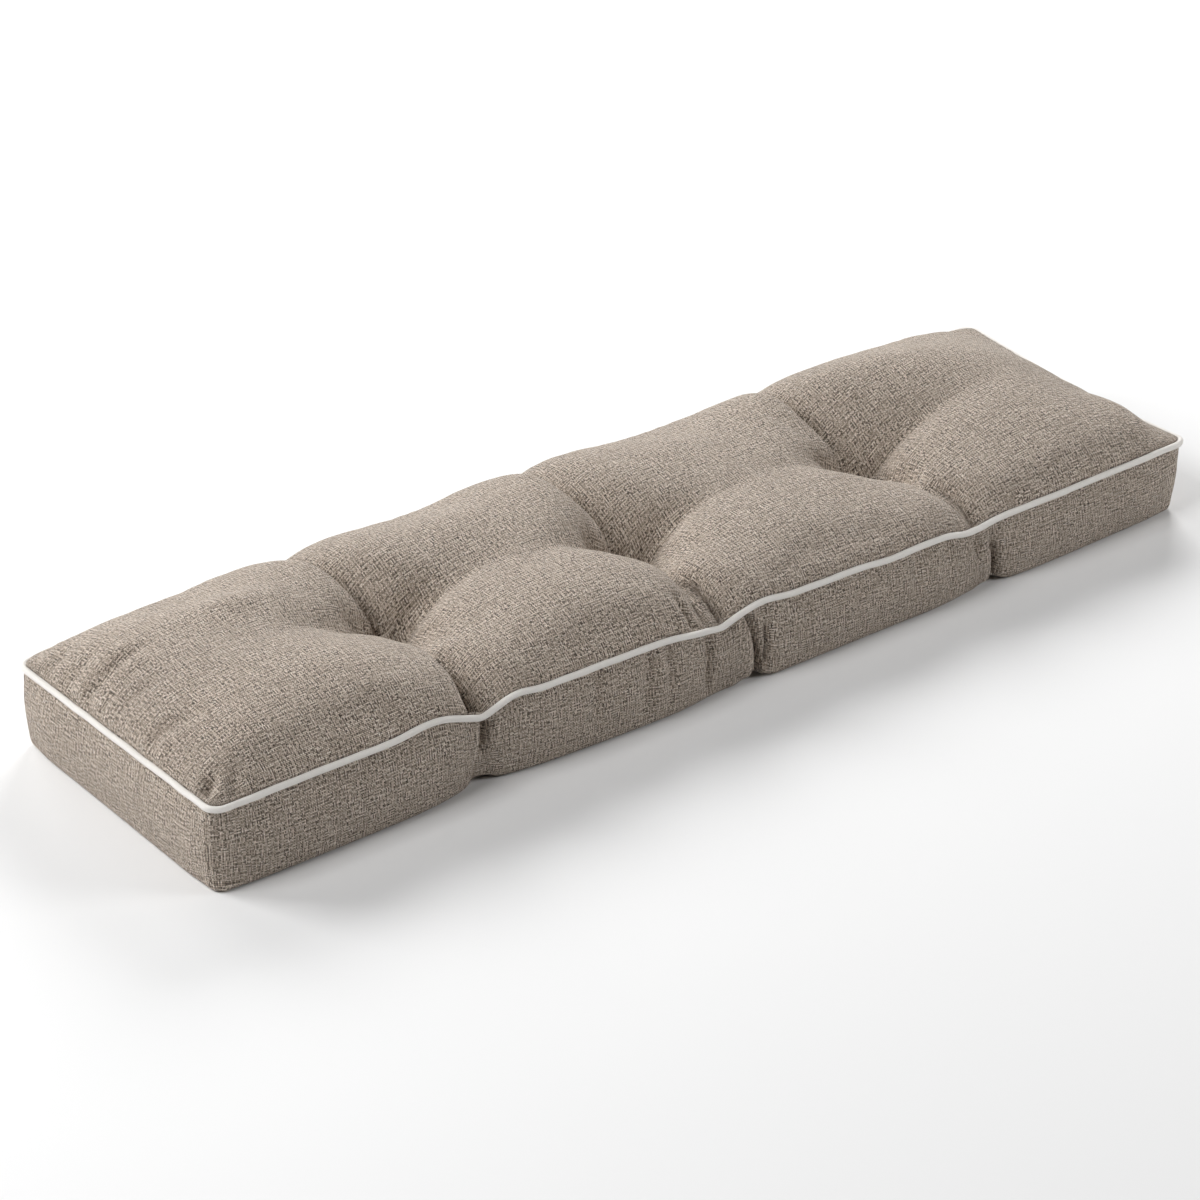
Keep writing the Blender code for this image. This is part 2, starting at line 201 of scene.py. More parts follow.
MOUNDS = (
    Mound(x=-0.544, y=0.069, height=0.0090, reach=0.049, reach_across=0.055, turn=0.07),
    Mound(x=-0.534, y=-0.118, height=0.0050, reach=0.074, reach_across=0.036, turn=0.67),
    Mound(x=-0.438, y=0.057, height=0.0090, reach=0.051, reach_across=0.023, turn=-0.19),
    Mound(x=-0.405, y=-0.109, height=0.0070, reach=0.070, reach_across=0.052, turn=-0.06),
    Mound(x=-0.377, y=-0.036, height=-0.0060, reach=0.041, reach_across=0.036, turn=0.0),
    Mound(x=-0.340, y=-0.026, height=-0.0025, reach=0.050, reach_across=0.020, turn=0.0),
    Mound(x=-0.256, y=0.067, height=0.0080, reach=0.063, reach_across=0.054, turn=-0.02),
    Mound(x=-0.159, y=0.066, height=0.0095, reach=0.053, reach_across=0.043, turn=0.10),
    Mound(x=-0.154, y=-0.103, height=0.0090, reach=0.083, reach_across=0.055, turn=-0.09),
    Mound(x=-0.038, y=-0.032, height=-0.0185, reach=0.034, reach_across=0.025, turn=-0.30),
    Mound(x=0.010, y=-0.101, height=0.0045, reach=0.045, reach_across=0.036, turn=-0.04),
    Mound(x=0.119, y=0.075, height=0.0050, reach=0.059, reach_across=0.035, turn=-0.15),
    Mound(x=0.127, y=-0.101, height=0.0060, reach=0.066, reach_across=0.042, turn=-0.22),
    Mound(x=0.268, y=-0.038, height=-0.0060, reach=0.045, reach_across=0.022, turn=-0.20),
    Mound(x=0.259, y=0.102, height=0.0065, reach=0.053, reach_across=0.040, turn=0.08),
    Mound(x=0.392, y=0.076, height=0.0135, reach=0.106, reach_across=0.044, turn=-0.37),
    Mound(x=0.586, y=-0.109, height=0.0105, reach=0.051, reach_across=0.052, turn=-0.13),
)

TUFTS = (
    Tuft(x_back=-0.326, x_tuft=-0.292, x_front=-0.306, x_dip=-0.299, x_fold=-0.299,
         y_tuft=-0.004, tuft=1.15, back=0.30, saddle=0.61, front=1.14,
         dip=0.014, draw=0.007, fold=0.005),
    Tuft(x_back=-0.046, x_tuft=-0.002, x_front=-0.028, x_dip=-0.008, x_fold=0.029,
         y_tuft=-0.018, tuft=1.24, back=0.55, saddle=0.91, front=1.21,
         dip=0.013, draw=0.007, fold=0.005),
    Tuft(x_back=0.269, x_tuft=0.300, x_front=0.319, x_dip=0.328, x_fold=0.343,
         y_tuft=-0.013, tuft=1.20, back=0.56, saddle=0.79, front=1.00,
         dip=0.008, draw=0.006, fold=0.005),
)

FLANKS = (
    FlankPlace(place=-1.0, left=0.022, right=0.060),
    FlankPlace(place=-0.6, left=0.026, right=0.080),
    FlankPlace(place=-0.2, left=0.060, right=0.095),
    FlankPlace(place=0.0, left=0.080, right=0.085),
    FlankPlace(place=0.2, left=0.060, right=0.080),
    FlankPlace(place=0.5, left=0.050, right=0.070),
    FlankPlace(place=0.8, left=0.045, right=0.075),
    FlankPlace(place=1.0, left=0.045, right=0.095),
)

# Columns: a0, b0, a1, b1, bend, width, depth, left_lip, right_lip, overhang, head, tail.
FOLDS: dict[Panel, tuple[Fold, ...]] = {
    Panel.TOP: (
        # from each tuft to the back seam, and a short one left of the third
        Fold(-0.290, 0.002, -0.335, 0.140, -0.002, 0.0065, 0.0090, 0.0015, 0.0, 0.0060, 0.05, 0.30),
        Fold(-0.008, -0.010, -0.046, 0.150, 0.001, 0.0065, 0.0090, 0.0015, 0.0, 0.0060, 0.05, 0.30),
        Fold(0.292, 0.000, 0.287, 0.125, 0.008, 0.0070, 0.0060, 0.0010, 0.0, 0.0030, 0.05, 0.35),
        Fold(0.262, 0.012, 0.230, 0.095, 0.0, 0.0090, 0.0025, 0.0012, 0.0, 0.0, 0.30, 0.40),
        # the pocket at the left of each tuft
        Fold(-0.355, 0.010, -0.290, 0.006, 0.0, 0.0110, 0.0090, 0.0, 0.0, 0.0, 0.60, 0.08),
        Fold(-0.070, -0.002, 0.000, -0.012, 0.0, 0.0120, 0.0140, 0.0, 0.0, 0.0, 0.60, 0.06),
        Fold(0.225, 0.002, 0.302, -0.006, 0.0, 0.0110, 0.0110, 0.0, 0.0, 0.0, 0.60, 0.08),
        # the valleys at the right of the first two tufts
        Fold(-0.286, 0.006, -0.205, 0.006, 0.0, 0.0110, 0.0060, 0.0, 0.0, 0.0, 0.05, 0.70),
        Fold(0.006, -0.010, 0.080, -0.003, 0.0, 0.0090, 0.0040, 0.0, 0.0, 0.0, 0.05, 0.70),
        # from the front seam to each tuft, two for each
        Fold(-0.301, -0.174, -0.305, -0.135, 0.0, 0.0090, 0.0120, 0.0, 0.0, 0.0, 0.01, 0.8),
        Fold(-0.306, -0.172, -0.298, -0.060, 0.002, 0.0080, 0.0150, 0.0030, 0.0, 0.0060, 0.01, 0.7),
        Fold(-0.041, -0.174, -0.047, -0.132, 0.0, 0.0075, 0.0200, 0.0025, 0.0030, 0.0050, 0.01, 0.5),
        Fold(-0.004, -0.172, -0.007, -0.100, 0.003, 0.0055, 0.0150, 0.0055, 0.0, 0.0030, 0.02, 0.3),
        Fold(0.303, -0.014, 0.318, -0.095, 0.0, 0.0100, 0.0060, 0.0, 0.0, 0.0, 0.20, 0.4),
        Fold(0.322, -0.171, 0.313, -0.085, -0.004, 0.0060, 0.0090, 0.0020, 0.0, 0.0030, 0.02, 0.5),
        # wrinkles from the left end's seam, back to front
        Fold(-0.604, 0.122, -0.555, 0.128, 0.0, 0.0070, 0.0028, 0.0010, 0.0010, 0.0, 0.08, 0.7),
        Fold(-0.606, 0.086, -0.550, 0.086, 0.0, 0.0070, 0.0022, 0.0008, 0.0008, 0.0, 0.08, 0.7),
        Fold(-0.606, 0.053, -0.520, 0.040, 0.0, 0.0070, 0.0050, 0.0022, 0.0018, 0.0, 0.05, 0.7),
        Fold(-0.605, 0.004, -0.550, -0.010, 0.0, 0.0080, 0.0020, 0.0008, 0.0008, 0.0, 0.08, 0.7),
        Fold(-0.605, -0.054, -0.545, -0.076, 0.0, 0.0080, 0.0038, 0.0014, 0.0014, 0.0, 0.08, 0.7),
        # the pinched near corner: a pit and the ridge beside it
        Fold(-0.606, -0.152, -0.572, -0.136, 0.0, 0.0065, 0.0100, 0.0, 0.0, 0.0, 0.12, 0.7),
        Fold(-0.585, -0.172, -0.560, -0.135, 0.0, 0.0070, 0.0050, 0.0030, 0.0, 0.0, 0.10, 0.8),
    ),
    Panel.FRONT: (
        # the boxing's folds below each tuft, two for each
        Fold(-0.305, 0.026, -0.296, 0.088, -0.002, 0.0050, 0.0125, 0.0025, 0.0, 0.0050, 0.60, 0.12),
        Fold(-0.311, 0.000, -0.304, 0.044, 0.0, 0.0040, 0.0040, 0.0010, 0.0, 0.0020, 0.02, 0.50),
        Fold(0.030, 0.000, 0.014, 0.088, -0.006, 0.0045, 0.0150, 0.0030, 0.0020, 0.0060, 0.02, 0.02),
        Fold(0.039, 0.008, 0.038, 0.072, -0.002, 0.0040, 0.0100, 0.0010, 0.0, 0.0020, 0.30, 0.30),
        Fold(0.323, 0.030, 0.320, 0.078, 0.0, 0.0050, 0.0060, 0.0010, 0.0, 0.0, 0.40, 0.10),
        Fold(0.345, 0.000, 0.339, 0.062, -0.001, 0.0045, 0.0120, 0.0025, 0.0, 0.0050, 0.02, 0.40),
        # soft pleats at the left of the second and of the third tuft
        Fold(-0.172, 0.014, -0.166, 0.084, 0.004, 0.0070, 0.0030, 0.0010, 0.0010, 0.0, 0.50, 0.05),
        Fold(-0.112, 0.000, -0.103, 0.086, 0.002, 0.0090, 0.0050, 0.0015, 0.0015, 0.0, 0.50, 0.05),
        Fold(-0.084, 0.010, -0.082, 0.086, -0.002, 0.0060, 0.0045, 0.0012, 0.0010, 0.0, 0.40, 0.10),
        Fold(-0.032, 0.000, -0.024, 0.086, 0.001, 0.0055, 0.0065, 0.0020, 0.0010, 0.0, 0.40, 0.05),
        Fold(0.232, 0.010, 0.236, 0.080, 0.001, 0.0080, 0.0025, 0.0008, 0.0008, 0.0, 0.50, 0.10),
        Fold(0.282, 0.006, 0.277, 0.078, 0.002, 0.0070, 0.0030, 0.0010, 0.0008, 0.0, 0.50, 0.10),
    ),
}


def column(rows: tuple, name: str) -> Array:
    """One named column of a table as an array."""
    return np.array([getattr(row, name) for row in rows])


def along(x: Array, rows: tuple, name: str) -> Array:
    """A column of a table at any x, on a smooth curve through the table's places.

    Between two places the curve is a cubic Hermite with the table's own mean slopes.

    Args:
        x: places along the length.
        rows: a table with a column x.
        name: the column to read.

    Returns:
        The column's value at each x.
    """
    places = column(rows, "x")
    values = column(rows, name)
    slopes = np.gradient(values, places)
    left = np.clip(np.searchsorted(places, x, side="right") - 1, 0, len(places) - 2)
    span = places[left + 1] - places[left]
    t = np.clip((x - places[left]) / span, 0.0, 1.0)
    return ((1 + 2 * t) * (1 - t) ** 2 * values[left]
            + t * (1 - t) ** 2 * span * slopes[left]
            + t ** 2 * (3 - 2 * t) * values[left + 1]
            - t ** 2 * (1 - t) * span * slopes[left + 1])


def smooth_step(share: Array) -> Array:
    """0 below 0, 1 above 1 and 3s^2 - 2s^3 between."""
    share = np.clip(share, 0.0, 1.0)
    return share * share * (3.0 - 2.0 * share)


def bump(distance: Array, radius: float) -> Array:
    """A round bump (1 - (d / r)^2)^2 that ends exactly at its radius."""
    return np.clip(1.0 - (distance / radius) ** 2, 0.0, None) ** 2


def spaced_lines(low: float, high: float, count: int, thick: tuple) -> Array:
    """Grid lines that stand closer where the form turns sharply.

    The line density is 1 plus, for each (centre, reach, gain) of thick, gain times a bell of
    that reach; the lines are where its running sum passes equal steps.

    Args:
        low: first line.
        high: last line.
        count: number of steps between them.
        thick: places to thicken, as (centre, reach, gain).

    Returns:
        count + 1 rising places from low to high.
    """
    fine = np.linspace(low, high, FINE_STEPS + 1)
    density = np.ones_like(fine)
    for centre, reach, gain in thick:
        density += gain * np.exp(-((fine - centre) / reach) ** 2)
    running = np.concatenate([[0.0], np.cumsum(0.5 * (density[1:] + density[:-1]))])
    return np.interp(np.linspace(0.0, running[-1], count + 1), running, fine)


def value_noise(a: Array, b: Array, cell: float, seed: int) -> Array:
    """Smooth noise of about -1 to 1: random values on square cells, joined by smooth steps.

    Args:
        a: first surface coordinate in metres.
        b: second surface coordinate in metres.
        cell: size of a cell in metres.
        seed: picks the random values.

    Returns:
        The noise at each point.
    """
    corners = (NOISE_CELLS + 1, NOISE_CELLS + 1)
    grid = np.random.default_rng(seed).uniform(-1.0, 1.0, corners)
    p, q = a / cell + NOISE_SHIFT[0], b / cell + NOISE_SHIFT[1]
    i, j = np.floor(p).astype(int), np.floor(q).astype(int)
    s, t = smooth_step(p - i), smooth_step(q - j)
    i, j = i % NOISE_CELLS, j % NOISE_CELLS
    low = grid[i, j] * (1 - s) + grid[i + 1, j] * s
    high = grid[i, j + 1] * (1 - s) + grid[i + 1, j + 1] * s
    return low * (1 - t) + high * t


@dataclass(frozen=True)
class CushionForm:
    """The filled shape: crown, tufts, creases, boxed sides and underside, as functions.

    Lengths, reaches, widths and depths are in metres, and the rest are shares and exponents.
    """

    length: float = 1.215
    depth: float = 0.342
    corner_radius: float = 0.014
    groove_radius: float = 0.0037
    lip_angle: float = 125.0
    low_lip_angle: float = 255.0
    side_bulge: float = 0.0065
    bulge_from_corner: float = 0.05
    bulge_at_foot: float = 0.1
    foot_radius: float = 0.007
    corner_foot: float = 0.008
    foot_pull_reach: float = 0.030
    fold_half_width: float = 0.013
    fold_sharpness: float = 1.2
    fold_at_ends: float = 0.45
    crown_squareness: float = 1.615
    left_end_reach: float = 0.129
    right_end_reach: float = 0.123
    left_end_steepness: float = 0.868
    right_end_steepness: float = 1.761
    dip_half_width: float = 0.030
    dip_sharpness: float = 1.5
    draw_half_width: float = 0.039
    seam_pull_reach: float = 0.035
    back_share: float = 0.75
    right_end_sag: float = 0.007
    right_end_sag_reach: float = 0.060
    funnel_reach_x: float = 0.126
    funnel_reach_back: float = 0.103
    funnel_reach_front: float = 0.235
    funnel_steepness: float = 1.902
    funnel_end: float = 1.5
    valley_reach: float = 0.084
    valley_depth: float = 1.245
    valley_half_width: float = 0.048
    valley_spread: float = 0.344
    valley_sharpness: float = 1.3
    crease_at_back_seam: float = 0.5
    crease_near_tuft: tuple[float, float, float] = (0.85, 1.0, 0.95)
    blend: float = 3.0
    notch_softness: float = 0.032
    notch_fullness: float = 0.962
    under_tuft_height: float = 0.012
    under_tuft_radius: float = 0.055
    under_fold_height: float = 0.007
    under_fold_radius: float = 0.026
    mound_margin: float = 0.040

    @property
    def half_length(self) -> float:
        """Half the length of the top seam."""
        return self.length / 2

    @property
    def half_depth(self) -> float:
        """Half the depth of the top seam."""
        return self.depth / 2

    def notch(self, offset: Array) -> Array:
        """A sharp valley between rounded flanks: 1 - sin(90 deg * |offset|)^fullness."""
        softened = np.minimum(np.sqrt(offset ** 2 + self.notch_softness ** 2), 1.0)
        return 1.0 - np.sin(np.pi / 2 * softened) ** self.notch_fullness

    def seam_level(self, x: Array, y: Array) -> tuple[Array, Array]:
        """Height of the top seam and how far it is drawn in, carried over the whole plan.

        Args:
            x: place along the length.
            y: place across the depth.

        Returns:
            The seam's height, and the shift of the seam along Y.
        """
        across = y / self.depth + 0.5
        level = along(x, SEAMS, "front") * (1.0 - across) + along(x, SEAMS, "back") * across
        bow = 1.0 - (y / self.half_depth) ** 2
        from_end = self.half_length - x
        level -= self.right_end_sag * bow * np.exp(-from_end / self.right_end_sag_reach)
        near = np.exp(-(self.half_depth + y) / self.seam_pull_reach)
        for swell in SWELLS:
            level += near * swell.height * np.exp(-((x - swell.x) / swell.half_width) ** 2)
        draw = np.zeros_like(level)
        for tuft in TUFTS:
            for side, centre, share in ((-1, tuft.x_dip, 1.0), (1, tuft.x_back, self.back_share)):
                near = share * np.exp(-(self.half_depth - side * y) / self.seam_pull_reach)
                offset = x - centre
                dip = np.exp(-np.abs(offset / self.dip_half_width) ** self.dip_sharpness)
                level -= near * tuft.dip * dip
                draw -= side * near * tuft.draw * np.exp(-(offset / self.draw_half_width) ** 2)
        return level, draw

    def crown(self, x: Array, y: Array) -> Array:
        """Height of the filling above the seam level, before the tufts pull it down.

        Args:
            x: place along the length.
            y: place across the depth.

        Returns:
            The height above the seam level.
        """
        across = np.clip(np.abs(y) / self.half_depth, 0.0, 1.0)
        section = np.sqrt(1.0 - across ** self.crown_squareness)
        left = np.clip((self.half_length + x) / self.left_end_reach, 0.0, 1.0)
        right = np.clip((self.half_length - x) / self.right_end_reach, 0.0, 1.0)
        left = np.sqrt(1.0 - (1.0 - left) ** 2) ** self.left_end_steepness
        right = np.sqrt(1.0 - (1.0 - right) ** 2) ** self.right_end_steepness
        return along(x, CRESTS, "height") * section * left * right

    def hollow(self, x: Array, y: Array) -> Array:
        """Share of the crown taken away by the tufts.

        Each tuft takes the soft maximum of a funnel that fades exponentially from it, two
        valleys that run along the length, and a crease from the back seam to the front one.

        Args:
            x: place along the length.
            y: place across the depth.

        Returns:
            The share taken, 1 down to the seam level and more below it.
        """
        deepest = np.zeros_like(x)
        forward = -y / self.half_depth
        places = column(FLANKS, "place")
        left = np.interp(forward, places, column(FLANKS, "left"))
        right = np.interp(forward, places, column(FLANKS, "right"))
        for tuft in TUFTS:
            dx = x - tuft.x_tuft
            dy = y - tuft.y_tuft
            reach_y = np.where(dy < 0.0, self.funnel_reach_front, self.funnel_reach_back)
            reach = np.hypot(dx / self.funnel_reach_x, dy / reach_y)
            funnel = tuft.tuft * np.exp(-self.funnel_steepness * reach)
            funnel *= np.clip(1.0 - (reach / self.funnel_end) ** 2, 0.0, None)
            spread = self.valley_half_width + self.valley_spread * np.abs(dx)
            valley = self.valley_depth * np.exp(
                -(np.abs(dx) / self.valley_reach) ** self.valley_sharpness)
            valley *= self.notch(dy / spread)
            depths = (self.crease_at_back_seam * tuft.back, tuft.back, *self.crease_near_tuft,
                      tuft.saddle, 0.5 * (tuft.saddle + tuft.front), tuft.front)
            line = np.interp(y, (-self.half_depth, tuft.y_tuft, self.half_depth),
                             (tuft.x_front, tuft.x_tuft, tuft.x_back))
            offset = x - line
            cut = np.interp(forward, places, depths) * self.notch(
                offset / np.where(offset < 0.0, left, right))
            taken = (funnel ** self.blend + valley ** self.blend + cut ** self.blend)
            deepest = np.maximum(deepest, taken ** (1.0 / self.blend))
        return deepest

    def mounding(self, x: Array, y: Array) -> Array:
        """Height of the uneven swellings: a sum of turned bells that fades near the seam.

        Args:
            x: place along the length.
            y: place across the depth.

        Returns:
            The height to add.
        """
        height = np.zeros_like(x)
        for mound in MOUNDS:
            cos_t, sin_t = np.cos(mound.turn), np.sin(mound.turn)
            run = (x - mound.x) * cos_t + (y - mound.y) * sin_t
            across = (y - mound.y) * cos_t - (x - mound.x) * sin_t
            height += mound.height * np.exp(-(run / mound.reach) ** 2
                                            - (across / mound.reach_across) ** 2)
        margin = np.minimum(self.half_length - np.abs(x), self.half_depth - np.abs(y))
        return height * smooth_step(margin / self.mound_margin)

    def round_corners(self, x: Array, y: Array) -> tuple[Array, Array]:
        """Plan position with the box's square corners turned into round ones.

        Args:
            x: place along the length.
            y: place across the depth.

        Returns:
            Both places, moved where they lie in a corner.
        """
        radius = self.corner_radius
        a = np.clip((np.abs(x) - (self.half_length - radius)) / radius, 0.0, 1.0)
        b = np.clip((np.abs(y) - (self.half_depth - radius)) / radius, 0.0, 1.0)
        corner = (a > 0.0) & (b > 0.0)
        round_x = self.half_length + radius * (a * np.sqrt(1.0 - b ** 2 / 2) - 1.0)
        round_y = self.half_depth + radius * (b * np.sqrt(1.0 - a ** 2 / 2) - 1.0)
        return np.where(corner, np.sign(x) * round_x, x), np.where(corner, np.sign(y) * round_y, y)

    def outward(self, x: Array, y: Array) -> tuple[Array, Array]:
        """Unit plan direction out of the cushion at a point of the box's outline.

        Args:
            x: place along the length.
            y: place across the depth.

        Returns:
            The direction's parts along X and along Y.
        """
        radius = self.corner_radius
        in_x = np.sign(x) * np.maximum(np.abs(x) - (self.half_length - radius), 0.0)
        in_y = np.sign(y) * np.maximum(np.abs(y) - (self.half_depth - radius), 0.0)
        round_x, round_y = self.round_corners(x, y)
        both = (in_x != 0.0) & (in_y != 0.0)
        out_x = np.where(both, round_x - np.sign(x) * (self.half_length - radius), in_x)
        out_y = np.where(both, round_y - np.sign(y) * (self.half_depth - radius), in_y)
        size = np.hypot(out_x, out_y)
        return out_x / size, out_y / size

    def seam_point(self, x: Array, y: Array) -> tuple[Array, Array, Array]:
        """Centre of the corded edge at a point of the box's outline.

        Args:
            x: place along the length.
            y: place across the depth.

        Returns:
            The centre's X, Y and Z.
        """
        level, draw = self.seam_level(x, y)
        plan_x, plan_y = self.round_corners(x, y)
        return plan_x, plan_y + draw, level

    def top_point(self, x: Array, y: Array) -> Array:
        """Top panel: from the groove's upper lip over the crown, less the tufts' hollows.

        Args:
            x: place along the length.
            y: place across the depth.

        Returns:
            The points, with X, Y and Z on the last axis.
        """
        level, draw = self.seam_level(x, y)
        plan_x, plan_y = self.round_corners(x, y)
        lip = np.radians(self.lip_angle)
        inset_x = 1.0 + self.groove_radius * np.cos(lip) / self.half_length
        inset_y = 1.0 + self.groove_radius * np.cos(lip) / self.half_depth
        height = level + self.groove_radius * np.sin(lip)
        height = height + self.crown(x, y) * (1.0 - self.hollow(x, y)) + self.mounding(x, y)
        return np.stack([plan_x * inset_x, plan_y * inset_y + draw, height], axis=-1)

    def fold_depth(self, x: Array, y: Array, share: float) -> Array:
        """How far the upright folds of the long sides are drawn in, at a share of the height.

        Args:
            x: place along the length.
            y: place across the depth.
            share: 0 at the foot and 1 at the groove.

        Returns:
            The depth, which is 0 on the end walls.
        """
        upright = self.fold_at_ends + (1.0 - self.fold_at_ends) * np.sin(np.pi * share)
        depth = np.zeros_like(x)
        for tuft in TUFTS:
            front = np.abs((x - tuft.x_fold) / self.fold_half_width) ** self.fold_sharpness
            back = np.abs((x - tuft.x_back) / self.fold_half_width) ** self.fold_sharpness
            depth += tuft.fold * upright * np.where(
                y < 0.0, np.exp(-front), self.back_share * np.exp(-back))
        return np.where(np.abs(y) > self.half_depth - self.corner_radius, depth, 0.0)

    def on_end(self, x: Array, y: Array) -> Array:
        """Whether a point of the box's outline is on one of the two end walls."""
        return np.abs(self.outward(x, y)[0]) > 0.5

    def from_corner(self, x: Array, y: Array) -> Array:
        """Distance along the outline from the nearest corner."""
        return np.where(self.on_end(x, y), self.half_depth - np.abs(y),
                        self.half_length - np.abs(x))

    def foot_rise(self, x: Array, y: Array) -> Array:
        """Height of the rounded lower edge, larger at the corners."""
        return self.foot_radius + self.corner_foot * bump(
            self.from_corner(x, y), self.bulge_from_corner)

    def side_point(self, x: Array, y: Array, share: float) -> Array:
        """A row of the boxed side: between the foot and the groove, bulged and folded.

        Args:
            x: place along the length.
            y: place across the depth.
            share: 0 at the foot and 1 at the groove.

        Returns:
            The points, with X, Y and Z on the last axis.
        """
        seam_x, seam_y, level = self.seam_point(x, y)
        out_x, out_y = self.outward(x, y)
        up_side = self.bulge_at_foot + (1.0 - self.bulge_at_foot) * share
        bulge = self.side_bulge * np.sin(np.pi * up_side)
        bulge = bulge * np.clip(self.from_corner(x, y) / self.bulge_from_corner, 0.0, 1.0) ** 0.5
        out = bulge - along(x, SEAMS, "inset") * (1.0 - share) - self.fold_depth(x, y, share)
        low = self.under_lift(x, y) + self.foot_rise(x, y)
        high = level + self.groove_radius * np.sin(np.radians(self.low_lip_angle))
        return np.stack([seam_x + out_x * out, seam_y + out_y * out,
                         low + (high - low) * share], axis=-1)

    def foot_point(self, x: Array, y: Array, angle: float) -> Array:
        """A row of the rounded lower edge, angle degrees below the level of its centre.

        Args:
            x: place along the length.
            y: place across the depth.
            angle: 0 at the wall and 90 underneath.

        Returns:
            The points, with X, Y and Z on the last axis.
        """
        wall = self.side_point(x, y, 0.0)
        out_x, out_y = self.outward(x, y)
        back = self.foot_radius * (1.0 - np.cos(np.radians(angle)))
        down = self.foot_rise(x, y) * np.sin(np.radians(angle))
        return wall - np.stack([out_x * back, out_y * back, down], axis=-1)

    def groove_point(self, x: Array, y: Array, angle: float) -> Array:
        """A row of the groove, on a circle round the corded edge's centre.

        Args:
            x: place along the length.
            y: place across the depth.
            angle: in degrees, 0 outwards and 90 up.

        Returns:
            The points, with X, Y and Z on the last axis.
        """
        seam_x, seam_y, level = self.seam_point(x, y)
        out_x, out_y = self.outward(x, y)
        out = self.groove_radius * np.cos(np.radians(angle))
        up = self.groove_radius * np.sin(np.radians(angle))
        return np.stack([seam_x + out_x * out, seam_y + out_y * out, level + up], axis=-1)

    def under_lift(self, x: Array, y: Array) -> Array:
        """Height of the underside: level but for the tufts and the feet of the folds.

        Args:
            x: place along the length.
            y: place across the depth.

        Returns:
            The height above the ground.
        """
        height = np.zeros_like(x)
        for tuft in TUFTS:
            to_tuft = np.hypot(x - tuft.x_tuft, y - tuft.y_tuft)
            to_front = np.hypot(x - tuft.x_fold, y + self.half_depth)
            to_back = np.hypot(x - tuft.x_back, y - self.half_depth)
            height += self.under_tuft_height * bump(to_tuft, self.under_tuft_radius)
            height += self.under_fold_height * bump(to_front, self.under_fold_radius)
            height += self.back_share * self.under_fold_height * bump(
                to_back, self.under_fold_radius)
        return height

    def under_point(self, x: Array, y: Array) -> Array:
        """Underside: drawn in near its edges as far as the rounded lower edge is.

        The pull of an edge fades with the distance d from it as exp(-d / reach).

        Args:
            x: place along the length.
            y: place across the depth.

        Returns:
            The points, with X, Y and Z on the last axis.
        """
        plan_x, plan_y = self.round_corners(x, y)
        near_end = np.exp(-(self.half_length - np.abs(x)) / self.foot_pull_reach)
        near_side = np.exp(-(self.half_depth - np.abs(y)) / self.foot_pull_reach)
        inset = along(x, SEAMS, "inset") + self.foot_radius
        fold = self.fold_depth(x, np.sign(y) * self.half_depth, 0.0)
        plan_x = plan_x - np.sign(x) * inset * near_end
        plan_y = plan_y - np.sign(y) * (inset + fold) * near_side
        return np.stack([plan_x, plan_y, self.under_lift(x, y)], axis=-1)


